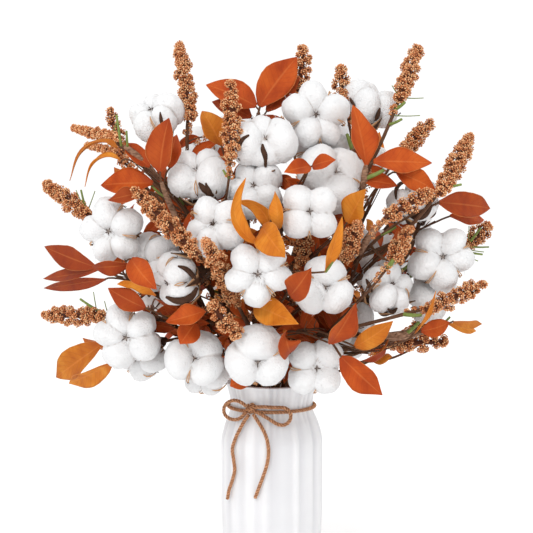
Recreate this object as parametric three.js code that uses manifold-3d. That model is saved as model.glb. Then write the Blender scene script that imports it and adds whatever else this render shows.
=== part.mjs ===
// A bunch of cotton stems in a pleated ceramic vase, with rust leaves, millet spikes and a twine bow.
// Millimetres, +Z up, the origin in the middle of the vase's foot. The front faces -Y, +X is to the right.

import * as THREE from "three";
import { mergeVertices } from "three/addons/utils/BufferGeometryUtils.js";
import Module from "manifold-3d";

const wasm = await Module();
wasm.setup();

// Driving dimensions

const vaseHeight = 184;
const rimRadius = 41.5;
const neckRadius = 36.4;
const neckHeight = 161;
const shoulderRadius = 45.6;
const shoulderHeight = 133;
const footRadius = 45.4;
const vaseWall = 4.5;
const vaseFloor = 14;
const pleats = 16;
const pleatDepth = 1.5;

const twineDiameter = 3.3;
const clearance = 0.3;
const merging = 0.08;

const bollDiameter = 56;
const grooveShare = 0.74;
const stalkRadius = 2.4;
const twigRadius = 1.5;
const petioleRadius = 1.1;
const spikeRadius = 8.6;
const leafThickness = 1.2;
// What a thin edge cuts in its neighbours is this many clearances wider than the edge
const edgeRoom = 4;

const crownCentre = 300;
const crownHalfWidth = 205;
const crownHalfDepth = 130;
const crownHalfHeight = 195;

const cotton = 0xf4f2ee;
const bark = 0x4a3022;
const millet = 0xb5713f;
const rust = 0xbf5826;
const glaze = 0xf0efed;
const jute = 0xb4784a;

// The front view that the heads are laid out in: a picture of 533 by 533, seen from a little above

const picture = { middle: 266.5, scale: 0.9, distance: 1500, tilt: THREE.MathUtils.degToRad(5) };
const lookAt = new THREE.Vector3(-4.5, 0, 287);

function vector(x, y, z) {
  return new THREE.Vector3(x, y, z);
}

function seen(pixel, y) {
  const across = (pixel[0] - picture.middle) * picture.scale;
  const up = (picture.middle - pixel[1]) * picture.scale;
  const point = vector(0, y, lookAt.z + up);
  for (let round = 0; round < 4; round += 1) {
    const depth = y * Math.cos(picture.tilt) - (point.z - lookAt.z) * Math.sin(picture.tilt);
    const spread = 1 + depth / picture.distance;
    point.x = lookAt.x + across * spread;
    point.z = lookAt.z + (up * spread - y * Math.sin(picture.tilt)) / Math.cos(picture.tilt);
  }
  return point;
}

function crownDepth(x, z) {
  const left = 1 - (x / crownHalfWidth) ** 2 - ((z - crownCentre) / crownHalfHeight) ** 2;
  return -crownHalfDepth * Math.sqrt(Math.max(0, left));
}

function seenOnCrown(pixel, deeper) {
  let point = seen(pixel, 0);
  for (let round = 0; round < 3; round += 1) {
    point = seen(pixel, crownDepth(point.x, point.z) + deeper);
  }
  return point;
}

function chance(seed) {
  const value = Math.sin(seed * 12.9898) * 43758.5453;
  return value - Math.floor(value);
}

// Bolls: where each is seen, its depth, and the way its star of lobes faces

const bolls = {
  boll_01: { at: [157, 117], y: -70, faces: [-0.45, -0.55, 0.7], size: 51 },
  boll_02: { at: [199, 179], y: -92, faces: [-0.2, -0.6, 0.75], bracts: true },
  boll_03: { at: [264, 146], y: -102, faces: [0.1, -0.8, 0.6], bracts: true },
  boll_04: { at: [315, 116], y: -74, faces: [0.05, -0.97, 0.15], size: 62, spin: -8 },
  boll_05: { at: [370, 107], y: -40, faces: [0.3, -0.35, 0.88], bracts: true },
  boll_06: { at: [332, 178], y: -90, faces: [0.3, -0.8, 0.5], size: 62 },
  boll_07: { at: [310, 213], y: -135, faces: [-0.05, -0.98, 0.2], lobes: 4, spin: 45 },
  boll_08: { at: [217, 228], y: -128, faces: [-0.3, -0.85, 0.4] },
  boll_09: { at: [113, 231], y: -88, faces: [-0.25, -0.96, 0.05], size: 61, spin: -5 },
  boll_10: { at: [178, 279], y: -110, faces: [-0.85, -0.3, -0.25], bracts: true },
  boll_11: { at: [258, 274], y: -146, faces: [0, -1, 0.05], size: 60, spin: 40 },
  boll_12: { at: [323, 288], y: -130, faces: [0.2, -0.95, 0.2], lobes: 4, spin: 10 },
  boll_13: { at: [415, 201], y: -80, faces: [-0.3, -0.45, 0.8], size: 51, bracts: true },
  boll_14: { at: [440, 257], y: -78, faces: [0.1, -0.98, 0.1], size: 60, spin: 35 },
  boll_15: { at: [387, 290], y: -95, faces: [0.4, -0.65, 0.6], size: 53, bracts: true },
  boll_16: { at: [128, 337], y: -85, faces: [-0.1, -0.98, 0.05], size: 60, spin: -25 },
  boll_17: { at: [196, 359], y: -94, faces: [-0.1, -0.9, 0.2], lobes: 4, size: 58, spin: 30 },
  boll_18: { at: [258, 357], y: -122, faces: [0, -0.9, -0.25], lobes: 4, spin: 20 },
  boll_19: { at: [316, 366], y: -98, faces: [0.05, -1, -0.05], lobes: 4, size: 58, spin: 45 },
  boll_20: { at: [365, 255], y: -45, faces: [0.2, -0.8, 0.5] },
  boll_21: { at: [144, 353], y: -50, faces: [-0.7, -0.5, -0.4], size: 52 },
  boll_22: { at: [204, 371], y: -60, faces: [-0.4, -0.6, -0.6], size: 50 },
  boll_23: { at: [320, 150], y: -52, faces: [0.2, -0.95, 0.2] },
  boll_25: { at: [256, 190], y: -99, faces: [-0.2, -0.8, 0.4], size: 54 },
  boll_26: { at: [155, 262], y: -72, faces: [-0.6, -0.7, 0.1], size: 54 },
  boll_27: { at: [350, 330], y: -60, faces: [0.5, -0.8, -0.1], size: 52 },
  boll_28: { at: [430, 297], y: -51, faces: [0.7, -0.6, -0.2], size: 54 },
  back_01: { centre: [-30, 88, 402], faces: [-0.1, 0.8, 0.6] },
  back_02: { centre: [-72, 77, 387], faces: [-0.6, 0.5, 0.6], size: 54 },
  back_03: { centre: [-62, 118, 315], faces: [-0.4, 0.9, 0.2], bracts: true },
  back_04: { centre: [-112, 88, 258], faces: [-0.7, 0.7, 0.1], size: 60 },
  back_05: { centre: [-49, 124, 271], faces: [-0.2, 0.95, -0.2] },
  back_06: { centre: [50, 78, 408], faces: [0.3, 0.7, 0.65], size: 58 },
  back_07: { centre: [86, 64, 379], faces: [0.7, 0.4, 0.5], size: 54 },
  back_08: { centre: [40, 128, 322], faces: [0.1, 1, 0.15] },
  back_09: { centre: [130, 62, 322], faces: [0.9, 0.3, 0.2] },
  back_10: { centre: [113, 86, 284], faces: [0.6, 0.8, 0.05] },
  back_11: { centre: [49, 126, 277], faces: [0.2, 0.95, -0.2] },
};

// Lint nodes: one for a boll alone, or for two that are pressed together

const lintNodes = {
  lint_top_left: ["boll_01"],
  lint_upper_left: ["boll_02"],
  lint_top_middle: ["boll_03", "boll_25"],
  lint_top: ["boll_04", "boll_23"],
  lint_top_right: ["boll_05"],
  lint_upper_right: ["boll_06"],
  lint_centre_high: ["boll_07"],
  lint_centre_left: ["boll_08"],
  lint_left: ["boll_09", "boll_26"],
  lint_left_middle: ["boll_10"],
  lint_centre: ["boll_11"],
  lint_centre_right: ["boll_12"],
  lint_right_high: ["boll_13"],
  lint_right: ["boll_14", "boll_28"],
  lint_right_middle: ["boll_15"],
  lint_low_left: ["boll_16", "boll_21"],
  lint_low_middle: ["boll_17", "boll_22"],
  lint_rim_left: ["boll_18"],
  lint_rim_right: ["boll_19"],
  lint_inner_right: ["boll_20"],
  lint_low_right: ["boll_27"],
  lint_back_top_left: ["back_01", "back_02"],
  lint_back_left: ["back_03", "back_05"],
  lint_back_low_left: ["back_04"],
  lint_back_top_right: ["back_06", "back_07"],
  lint_back_right: ["back_09", "back_10"],
  lint_back_middle: ["back_08", "back_11"],
};

// Cotton stems: the ring and the angle that each stands at in the neck, and its bolls, the leader first

const rings = { inner: 9, middle: 18, outer: 27 };

const cottonStems = {
  cotton_stem_upper_left: {
    ring: "middle",
    angle: 229,
    fork: 0.45,
    bolls: ["boll_01", "boll_02", "boll_03", "boll_25"],
  },
  cotton_stem_upper_right: {
    ring: "middle",
    angle: 300,
    fork: 0.45,
    bolls: ["boll_05", "boll_04", "boll_06", "boll_23"],
  },
  cotton_stem_left: {
    ring: "outer",
    angle: 210,
    fork: 0.45,
    bolls: ["boll_09", "boll_26", "boll_10", "boll_08"],
  },
  cotton_stem_front: { ring: "outer", angle: 274, fork: 0.45, bolls: ["boll_07", "boll_11", "boll_12"] },
  cotton_stem_right: {
    ring: "outer",
    angle: 338,
    fork: 0.45,
    bolls: ["boll_13", "boll_14", "boll_15", "boll_20", "boll_28"],
  },
  cotton_stem_low_left: {
    ring: "outer",
    angle: 226,
    fork: 0.4,
    bolls: ["boll_16", "boll_21", "boll_17", "boll_22"],
  },
  cotton_stem_low_front: { ring: "outer", angle: 306, fork: 0.35, bolls: ["boll_27", "boll_18", "boll_19"] },
  cotton_stem_back_left: {
    ring: "middle",
    angle: 125,
    fork: 0.4,
    bolls: ["back_01", "back_02", "back_03", "back_04", "back_05"],
  },
  cotton_stem_back_right: {
    ring: "middle",
    angle: 55,
    fork: 0.4,
    bolls: ["back_06", "back_07", "back_08", "back_09", "back_10", "back_11"],
  },
};

// Millet sprays: each spike runs from its base to its tip, as seen, on the crown or deeper behind it

const milletSprays = {
  millet_spray_top_left: {
    ring: "inner",
    angle: 190,
    fork: 0.4,
    spikes: [
      { base: [191, 118], tip: [178, 43], deeper: [12, 0] },
      { base: [232, 160], tip: [231, 81], deeper: [0, -14] },
      { base: [199, 252], tip: [133, 189], deeper: [-8, -14] },
    ],
  },
  millet_spray_left: {
    ring: "outer",
    angle: 178,
    fork: 0.4,
    spikes: [
      { base: [118, 138], tip: [73, 128], deeper: [0, -6] },
      { base: [117, 152], tip: [86, 145], deeper: [22, 22] },
      { base: [90, 217], tip: [45, 183], deeper: [20, 6] },
      { base: [103, 316], tip: [44, 315], deeper: [20, 4] },
    ],
  },
  millet_spray_top: {
    ring: "inner",
    angle: 330,
    fork: 0.45,
    spikes: [
      { base: [398, 100], tip: [418, 47], deeper: [14, 0] },
      { base: [342, 104], tip: [340, 66], deeper: [40, 30] },
      { base: [298, 100], tip: [304, 46], deeper: [50, 30] },
    ],
  },
  millet_spray_right: {
    ring: "outer",
    angle: 354,
    fork: 0.4,
    spikes: [
      { base: [437, 193], tip: [470, 136], deeper: [-6, -6] },
      { base: [403, 150], tip: [431, 123], deeper: [14, 6] },
      { base: [384, 218], tip: [432, 191], deeper: [-22, -34] },
      { base: [466, 247], tip: [489, 224], deeper: [40, 26] },
    ],
  },
  millet_spray_low_right: {
    ring: "outer",
    angle: 322,
    fork: 0.35,
    spikes: [
      { base: [424, 308], tip: [482, 281], deeper: [-4, -4] },
      { base: [388, 344], tip: [447, 341], deeper: [20, 6] },
      { base: [394, 262], tip: [409, 227], deeper: [-10, -16] },
    ],
  },
  millet_spray_front: {
    ring: "outer",
    angle: 258,
    fork: 0.35,
    spikes: [
      { base: [234, 303], tip: [206, 238], deeper: [-12, -28] },
      { base: [239, 337], tip: [210, 303], deeper: [-14, -24] },
      { base: [347, 262], tip: [359, 221], deeper: [-2, -12] },
      { base: [302, 262], tip: [305, 229], deeper: [14, 4] },
    ],
  },
  millet_spray_back: { ring: "middle", angle: 90, fork: 0.3, spikes: [] },
};

// Leaf sprays: each leaf runs from its base to its tip, with its width, turn about its rib and bow

const leafSprays = {
  leaf_spray_top: {
    ring: "inner",
    angle: 255,
    fork: 0.7,
    leaves: [
      { base: [259, 108], tip: [297, 57], width: 29, deeper: [30, 18], turn: 15 },
      { base: [257, 107], tip: [206, 85], width: 26, deeper: [30, 20], turn: -10 },
      { base: [252, 118], tip: [212, 102], width: 20, deeper: [40, 36], turn: -10 },
      { base: [266, 112], tip: [300, 78], width: 18, deeper: [36, 34], turn: 25 },
    ],
  },
  leaf_spray_upper_left: {
    ring: "middle",
    angle: 206,
    fork: 0.6,
    leaves: [
      { base: [153, 184], tip: [99, 186], width: 24, deeper: [-4, -14], turn: 15 },
      { base: [160, 173], tip: [169, 118], width: 27, deeper: [-12, -30], turn: -10 },
      { base: [171, 168], tip: [177, 134], width: 15, deeper: [6, 0], turn: 20 },
      { base: [150, 192], tip: [110, 199], width: 15, deeper: [4, 2], turn: 20 },
      { base: [150, 168], tip: [125, 143], width: 16, deeper: [6, 0], turn: 30 },
      { base: [120, 146], tip: [70, 181], width: 10, deeper: [-8, -20], turn: 45, bow: -10 },
      { base: [122, 160], tip: [85, 187], width: 10, deeper: [-6, -16], turn: 45, bow: -8 },
    ],
  },
  leaf_spray_left: {
    ring: "middle",
    angle: 182,
    fork: 0.6,
    leaves: [
      { base: [97, 268], tip: [44, 247], width: 19, deeper: [16, 0], turn: 10 },
      { base: [99, 270], tip: [44, 279], width: 12, deeper: [18, 4], turn: 25 },
      { base: [107, 279], tip: [44, 288], width: 12, deeper: [20, 8], turn: -25 },
      { base: [133, 264], tip: [93, 266], width: 14, deeper: [0, -4], turn: -30 },
      { base: [131, 258], tip: [157, 289], width: 20, deeper: [-4, -22], turn: -20 },
    ],
  },
  leaf_spray_low_left: {
    ring: "outer",
    angle: 194,
    fork: 0.45,
    leaves: [
      { base: [101, 346], tip: [54, 380], width: 26, deeper: [16, 4], turn: 15 },
      { base: [113, 362], tip: [69, 384], width: 20, deeper: [22, 12], turn: -25 },
      { base: [146, 308], tip: [108, 288], width: 18, deeper: [-2, -14], turn: 20 },
      { base: [157, 298], tip: [118, 282], width: 14, deeper: [2, -12], turn: -40, bow: 12 },
      { base: [206, 310], tip: [166, 322], width: 18, deeper: [-4, -18], turn: 40 },
      { base: [196, 322], tip: [180, 344], width: 20, deeper: [4, -10], turn: -10 },
    ],
  },
  leaf_spray_upper_front: {
    ring: "middle",
    angle: 253,
    fork: 0.6,
    leaves: [
      { base: [310, 166], tip: [284, 172], width: 15, deeper: [-8, -22], turn: 15 },
      { base: [312, 166], tip: [336, 160], width: 14, deeper: [-8, -26], turn: -15 },
      { base: [222, 146], tip: [202, 111], width: 24, deeper: [24, 10], turn: 30 },
      { base: [304, 197], tip: [286, 179], width: 13, deeper: [-4, -14], turn: 20 },
      { base: [262, 246], tip: [246, 179], width: 18, deeper: [-16, -36], turn: 35, bow: 10 },
      { base: [273, 228], tip: [241, 202], width: 20, deeper: [-8, -20], turn: -35, bow: -12 },
    ],
  },
  leaf_spray_upper_right: {
    ring: "middle",
    angle: 324,
    fork: 0.7,
    leaves: [
      { base: [366, 167], tip: [353, 105], width: 26, deeper: [-8, -20], turn: 20 },
      { base: [372, 162], tip: [432, 163], width: 22, deeper: [-8, -22], turn: -10 },
      { base: [396, 172], tip: [435, 190], width: 18, deeper: [-4, -14], turn: 15 },
      { base: [362, 180], tip: [397, 186], width: 16, deeper: [2, -4], turn: -20 },
    ],
  },
  leaf_spray_right: {
    ring: "middle",
    angle: 347,
    fork: 0.6,
    leaves: [
      { base: [437, 202], tip: [489, 208], width: 22, deeper: [-6, -4], turn: 10 },
      { base: [449, 216], tip: [484, 220], width: 15, deeper: [14, 14], turn: -15 },
      { base: [390, 262], tip: [399, 227], width: 20, deeper: [8, 0], turn: 20 },
    ],
  },
  leaf_spray_centre: {
    ring: "outer",
    angle: 242,
    fork: 0.5,
    leaves: [
      { base: [279, 228], tip: [275, 191], width: 20, deeper: [-6, -16], turn: -30 },
      { base: [262, 226], tip: [285, 257], width: 24, deeper: [-14, -44], turn: 20 },
      { base: [324, 271], tip: [341, 215], width: 18, deeper: [-10, -30], turn: 30 },
      { base: [347, 224], tip: [366, 189], width: 22, deeper: [-8, -28], turn: -35 },
      { base: [289, 294], tip: [311, 267], width: 20, deeper: [-14, -40], turn: -20 },
    ],
  },
  leaf_spray_low_front: {
    ring: "middle",
    angle: 277,
    fork: 0.4,
    leaves: [
      { base: [253, 305], tip: [298, 323], width: 23, deeper: [-8, -32], turn: -15, bow: 10 },
      { base: [290, 350], tip: [283, 328], width: 20, deeper: [6, -4], turn: 25 },
      { base: [330, 344], tip: [356, 303], width: 22, deeper: [-8, -34], turn: 20 },
      { base: [354, 347], tip: [393, 321], width: 17, deeper: [-14, -30], turn: -15 },
      { base: [247, 372], tip: [230, 386], width: 17, deeper: [30, 18], turn: 10 },
      { base: [290, 364], tip: [284, 385], width: 11, deeper: [26, 14], turn: 20 },
    ],
  },
  leaf_spray_low_right: {
    ring: "outer",
    angle: 290,
    fork: 0.4,
    leaves: [
      { base: [340, 355], tip: [382, 394], width: 25, deeper: [-10, -34], turn: 15 },
      { base: [388, 340], tip: [362, 360], width: 17, deeper: [8, 0], turn: -35, bow: 12 },
      { base: [384, 346], tip: [362, 342], width: 12, deeper: [18, 14], turn: 20 },
      { base: [414, 334], tip: [436, 291], width: 8, deeper: [-14, -36], turn: 40 },
      { base: [420, 331], tip: [450, 322], width: 15, deeper: [2, -4], turn: -20 },
      { base: [452, 321], tip: [482, 324], width: 9, deeper: [10, 6], turn: 20 },
      { base: [447, 324], tip: [476, 331], width: 8, deeper: [22, 20], turn: -20 },
    ],
  },
  leaf_spray_back: { ring: "outer", angle: 90, fork: 0.3, leaves: [] },
};

const backLeaves = 9;
const backSpikes = 6;

// Outlines: rows of a boll, a spike and a leaf, and the vase's outer and inner profile

const puffDepth = 0.88;
const puffFront = 0.6;
const puffBack = 0.66;
const puffRows = [
  [40, 0.94, 0.64],
  [86, 1.02, grooveShare],
  [136, 0.92, 0.84],
];
const burrCupRadius = 5;
const burrGap = 3.7;
const bractHalfWidth = 4.5;
const bractThickness = 1.4;

const spikeSides = 8;
const clusterHigh = 1.12;
const clusterLow = 0.72;
const spikeRows = [
  [0.1, 0.72],
  [0.36, 1.0],
  [0.63, 0.94],
  [0.88, 0.62],
];

const stalkSides = 4;
const stalkSteps = 9;
const twigSides = 3;
const twigStep = 28;
const forkStep = 0.07;
const forkRoom = 16;

const settleRounds = 10;
const settleStep = 0.5;

const leafBow = 5;
const leafSpare = 3;
const leafFold = 0.16;
const leafRows = [
  [0.03, 0.12],
  [0.32, 0.95],
  [0.66, 0.86],
  [1, 0.04],
];
const petioleShares = [0, 0.5, 0.92];

const bollCoreShare = 0.88;
const spikeCoreShare = 0.75;
const swayTurns = 8;
const swayReaches = [7, 14, 23, 34];
const swayMixes = [20];
const forkShifts = [0, 0.1, -0.1, 0.2, -0.2];
const headNudges = [0, -5, 5, -10, 10, -16, 16];

const vaseProfile = [
  { radius: footRadius - 1.4, height: 0, pleat: 0.2 },
  { radius: footRadius + 0.4, height: 70, pleat: 0.9 },
  { radius: shoulderRadius, height: shoulderHeight, pleat: pleatDepth },
  { radius: 41.2, height: 147, pleat: 1.2 },
  { radius: neckRadius + 0.4, height: neckHeight - 5, pleat: 0.4 },
  { radius: neckRadius + 0.4, height: neckHeight + 5, pleat: 0.4 },
  { radius: rimRadius, height: vaseHeight, pleat: 1.1 },
];
const vaseHollow = [
  { radius: rimRadius - vaseWall + 1, height: vaseHeight },
  { radius: neckRadius - vaseWall, height: neckHeight + 2 },
  { radius: shoulderRadius - vaseWall - 1, height: 128 },
  { radius: footRadius - vaseWall - 1, height: 40 },
  { radius: footRadius - vaseWall - 5, height: vaseFloor },
];

const bandSides = 6;
const bandRadius = neckRadius + 0.8 + twineDiameter / 2 + clearance;
const knotPixel = [251, 408.5];
// Each route is read along the front of the vase, with how far it stands off the pleats
const twineRoutes = {
  bow_loop_left: {
    steps: 12,
    route: [
      [247, 406.5, 5.6],
      [239.4, 401.5, 6.8],
      [233.5, 400.4, 8.3],
      [227.5, 402.6, 10.9],
      [224.1, 407.5, 12.9],
      [224.3, 413.3, 12],
      [228.3, 417.9, 8.7],
      [234.4, 419.6, 4.7],
      [239.8, 418.3, 3.3],
      [246.6, 411.6, 1],
    ],
  },
  bow_loop_right: {
    steps: 13,
    route: [
      [255.6, 407, 4.8],
      [264.4, 406.9, 4.1],
      [274, 407.6, 4.2],
      [284.7, 408, 5.5],
      [288.9, 411, 6.2],
      [290.8, 416.4, 6.4],
      [288.9, 421.8, 4.6],
      [284.1, 424.9, 2.2],
      [278.6, 424.6, 1.2],
      [267.6, 418.2, 2],
      [256.4, 411.6, 0.9],
    ],
  },
  twine_tail_left: {
    steps: 10,
    route: [
      [248.6, 415, 3],
      [245, 420, 2.2],
      [241, 427, 0.9],
      [235.6, 438, 0.4],
      [232.4, 449, 0.4],
      [233.6, 460, 0.4],
      [234.6, 470, 0.4],
      [232, 481, 0.4],
      [229, 490, 0.4],
      [227.5, 499, 0.4],
    ],
  },
  twine_tail_right: {
    steps: 9,
    route: [
      [253.4, 414.4, 3],
      [257, 420, 2],
      [262, 428, 0.4],
      [266.5, 438, 0.4],
      [268.5, 450, 0.4],
      [267.5, 462, 0.4],
      [264, 474, 0.4],
      [259.5, 486, 0.4],
      [255, 498, 0.4],
    ],
  },
};

// Solids from closed meshes, joined and cut

function toSolid(geometry) {
  const bare = geometry.attributes.normal ? mergeBare(geometry) : geometry;
  const places = bare.attributes.position;
  const corners = Array.from(bare.index.array);
  const [a, b, c] = [vector(0, 0, 0), vector(0, 0, 0), vector(0, 0, 0)];
  let volume = 0;
  for (let first = 0; first < corners.length; first += 3) {
    a.fromBufferAttribute(places, corners[first]);
    b.fromBufferAttribute(places, corners[first + 1]);
    c.fromBufferAttribute(places, corners[first + 2]);
    volume += a.dot(b.cross(c));
  }
  if (volume < 0) {
    corners.reverse();
  }
  const vertProperties = new Float32Array(places.array);
  const triVerts = new Uint32Array(corners);
  return new wasm.Manifold(new wasm.Mesh({ numProp: 3, vertProperties, triVerts }));
}

function mergeBare(geometry) {
  geometry.deleteAttribute("normal");
  geometry.deleteAttribute("uv");
  const places = geometry.attributes.position.array;
  places.forEach((value, index) => {
    places[index] = Math.round(value * 1000) / 1000;
  });
  return mergeVertices(geometry, 1e-4);
}

function fromRows(points, triangles) {
  const geometry = new THREE.BufferGeometry();
  const places = points.flatMap((point) => point.toArray());
  geometry.setAttribute("position", new THREE.Float32BufferAttribute(places, 3));
  geometry.setIndex(triangles);
  return geometry;
}

function join(solids) {
  return solids.reduce((whole, solid) => whole.add(solid));
}

function largest(solid) {
  const pieces = solid.decompose();
  return pieces.reduce((best, piece) => (piece.volume() > best.volume() ? piece : best));
}

function toMesh(name, solid, material) {
  const data = largest(solid.simplify(merging)).getMesh();
  const geometry = new THREE.BufferGeometry();
  geometry.setAttribute("position", new THREE.BufferAttribute(data.vertProperties, 3));
  geometry.setIndex(new THREE.BufferAttribute(data.triVerts, 1));
  const mesh = new THREE.Mesh(geometry, material);
  mesh.name = name;
  return mesh;
}

// A tube of few sides along a curve

function tube(curve, radius, sides, steps) {
  const section = new THREE.Shape();
  for (let side = 0; side < sides; side += 1) {
    const angle = (2 * Math.PI * side) / sides;
    const corner = [radius * Math.cos(angle), radius * Math.sin(angle)];
    if (side === 0) {
      section.moveTo(...corner);
    } else {
      section.lineTo(...corner);
    }
  }
  const geometry = new THREE.ExtrudeGeometry(section, { steps, bevelEnabled: false, extrudePath: curve });
  return toSolid(geometry);
}

// A body of rings between two end points: bolls and spikes

function ringed(start, ringRows, end) {
  const points = [start, ...ringRows.flat(), end];
  const sides = ringRows[0].length;
  const last = points.length - 1;
  const triangles = [];
  for (let side = 0; side < sides; side += 1) {
    const next = (side + 1) % sides;
    triangles.push(0, 1 + next, 1 + side);
    for (let row = 0; row < ringRows.length - 1; row += 1) {
      const here = 1 + row * sides;
      const after = here + sides;
      triangles.push(here + side, here + next, after + next);
      triangles.push(here + side, after + next, after + side);
    }
    const final = 1 + (ringRows.length - 1) * sides;
    triangles.push(last, final + side, final + next);
  }
  return toSolid(fromRows(points, triangles));
}

// A thin blade along a midline: knife edges, a raised rib and a pointed tip

function blade(sections) {
  const points = [];
  sections.forEach(({ centre, reach, sideways, facing, rib, fold }) => {
    const lift = facing.clone().multiplyScalar(fold * reach);
    points.push(centre.clone().addScaledVector(sideways, reach).add(lift));
    points.push(centre.clone().addScaledVector(facing, rib));
    points.push(centre.clone().addScaledVector(sideways, -reach).add(lift));
    points.push(centre.clone().addScaledVector(facing, -rib));
  });
  const rows = sections.length;
  const triangles = [0, 1, 2, 0, 2, 3];
  for (let row = 0; row < rows - 1; row += 1) {
    for (let side = 0; side < 4; side += 1) {
      const next = (side + 1) % 4;
      const here = row * 4;
      const after = here + 4;
      triangles.push(here + side, after + side, after + next);
      triangles.push(here + side, after + next, here + next);
    }
  }
  const final = (rows - 1) * 4;
  triangles.push(final, final + 2, final + 1, final, final + 3, final + 2);
  return toSolid(fromRows(points, triangles));
}

// Bolls: lobes round a star, with a burr of pointed bracts behind them in the grooves

function frameOf(facing) {
  const front = facing.clone().normalize();
  const reference = Math.abs(front.z) > 0.93 ? vector(0, 1, 0) : vector(0, 0, 1);
  const up = reference.addScaledVector(front, -reference.dot(front)).normalize();
  const right = up.clone().cross(front);
  return { front, up, right };
}

function bollFrame(name) {
  const row = bolls[name];
  const order = Object.keys(bolls).indexOf(name);
  const frame = frameOf(vector(...row.faces));
  const centre = row.centre ? vector(...row.centre) : seen(row.at, row.y);
  const radius = (row.size ?? bollDiameter) / 2;
  const spin = THREE.MathUtils.degToRad(row.spin ?? 360 * chance(order + 1));
  return { ...frame, centre, radius, spin, lobes: row.lobes ?? 5, order };
}

function aroundBoll(boll, angle) {
  return boll.up.clone().multiplyScalar(Math.cos(angle)).addScaledVector(boll.right, Math.sin(angle));
}

function puff(name, grow) {
  const boll = bollFrame(name);
  const samples = 3 * boll.lobes;
  const rows = puffRows.map(([tilt, reach, groove]) => {
    const lean = THREE.MathUtils.degToRad(tilt);
    return Array.from({ length: samples }, (_, sample) => {
      const lobe = Math.floor(sample / 3);
      const angle = boll.spin + (Math.PI * (2 * (sample / 3) - 1)) / boll.lobes;
      const plump = 0.95 + 0.1 * chance(boll.order * 7 + lobe);
      const radius = boll.radius * reach * (sample % 3 === 0 ? groove : plump) + grow;
      return boll.centre
        .clone()
        .addScaledVector(aroundBoll(boll, angle), radius * Math.sin(lean))
        .addScaledVector(boll.front, radius * Math.cos(lean) * puffDepth);
    });
  });
  const start = boll.centre.clone().addScaledVector(boll.front, boll.radius * puffDepth * puffFront + grow);
  const end = boll.centre.clone().addScaledVector(boll.front, -boll.radius * puffDepth * puffBack - grow);
  return ringed(start, rows, end);
}

function burrSeat(boll) {
  return boll.centre.clone().addScaledVector(boll.front, -boll.radius * puffDepth * puffBack - burrGap);
}

function burr(name, grow) {
  const boll = bollFrame(name);
  const seat = burrSeat(boll);
  const cupRing = Array.from({ length: 5 }, (_, side) =>
    seat.clone().addScaledVector(aroundBoll(boll, (2 * Math.PI * side) / 5), burrCupRadius + grow)
  );
  const cupBack = seat.clone().addScaledVector(boll.front, -7 - grow);
  const cup = ringed(seat.clone().addScaledVector(boll.front, 3 + grow), [cupRing], cupBack);
  const bracts = Array.from({ length: bolls[name].bracts ? boll.lobes : 0 }, (_, lobe) => {
    const angle = boll.spin + (Math.PI * (2 * lobe - 1)) / boll.lobes;
    const outward = aroundBoll(boll, angle);
    const sideways = outward.clone().cross(boll.front);
    const bend = boll.centre
      .clone()
      .addScaledVector(outward, 0.68 * boll.radius)
      .addScaledVector(boll.front, -0.46 * boll.radius);
    const tip = boll.centre
      .clone()
      .addScaledVector(outward, 0.97 * boll.radius)
      .addScaledVector(boll.front, 0.1 * boll.radius);
    tip.addScaledVector(tip.clone().sub(bend).normalize(), edgeRoom * grow);
    const keel = outward.clone().addScaledVector(boll.front, -1).normalize();
    const section = [
      bend.clone().addScaledVector(sideways, bractHalfWidth + edgeRoom * grow).addScaledVector(keel, -grow),
      bend.clone().addScaledVector(keel, bractThickness + grow),
      bend.clone().addScaledVector(sideways, -bractHalfWidth - edgeRoom * grow).addScaledVector(keel, -grow),
    ];
    return ringed(seat.clone().addScaledVector(outward, -0.4 * burrCupRadius), [section], tip);
  });
  return join([cup, ...bracts]);
}

// Settling: a spike or a leaf moves towards the viewer, or away, until it is clear of the round things

const roundThings = Object.keys(bolls).map((name) => {
  const { centre, radius } = bollFrame(name);
  return { centre, radius };
});

function shiftClear(point, spare) {
  let shift = 0;
  roundThings.forEach(({ centre, radius }) => {
    const reach = radius + spare;
    const aside = Math.hypot(point.x - centre.x, point.z - centre.z);
    if (aside >= reach) {
      return;
    }
    const depth = Math.sqrt(reach ** 2 - aside ** 2);
    const from = point.y - centre.y;
    if (Math.abs(from) < depth) {
      const need = (from < 0 ? -depth : depth) - from;
      shift = Math.abs(need) > Math.abs(shift) ? need : shift;
    }
  });
  return shift;
}

function settle(base, bend, tip, samples, spare) {
  for (let round = 0; round < settleRounds; round += 1) {
    const curve = new THREE.QuadraticBezierCurve3(base, bend, tip);
    samples.forEach(([share, aside]) => {
      const point = curve.getPoint(share).add(aside);
      const shift = settleStep * shiftClear(point, spare);
      base.y += shift * (1 - share) ** 2;
      bend.y += shift;
      tip.y += shift * share ** 2;
    });
  }
}

// Spikes: a core that its rows of seed clusters stand out of, by a formula

function spikeFrame(spike) {
  if (!spike.settled) {
    const base = spike.from ?? seenOnCrown(spike.base, spike.deeper[0]);
    const tip = spike.to ?? seenOnCrown(spike.tip, spike.deeper[1]);
    const bend = base.clone().lerp(tip, 0.5);
    const still = vector(0, 0, 0);
    settle(base, bend, tip, [0.1, 0.35, 0.6, 0.85, 1].map((share) => [share, still]), spikeRadius);
    spike.settled = { base, tip };
  }
  const { base, tip } = spike.settled;
  const along = tip.clone().sub(base).normalize();
  return { base, tip, along, ...frameOf(along) };
}

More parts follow.
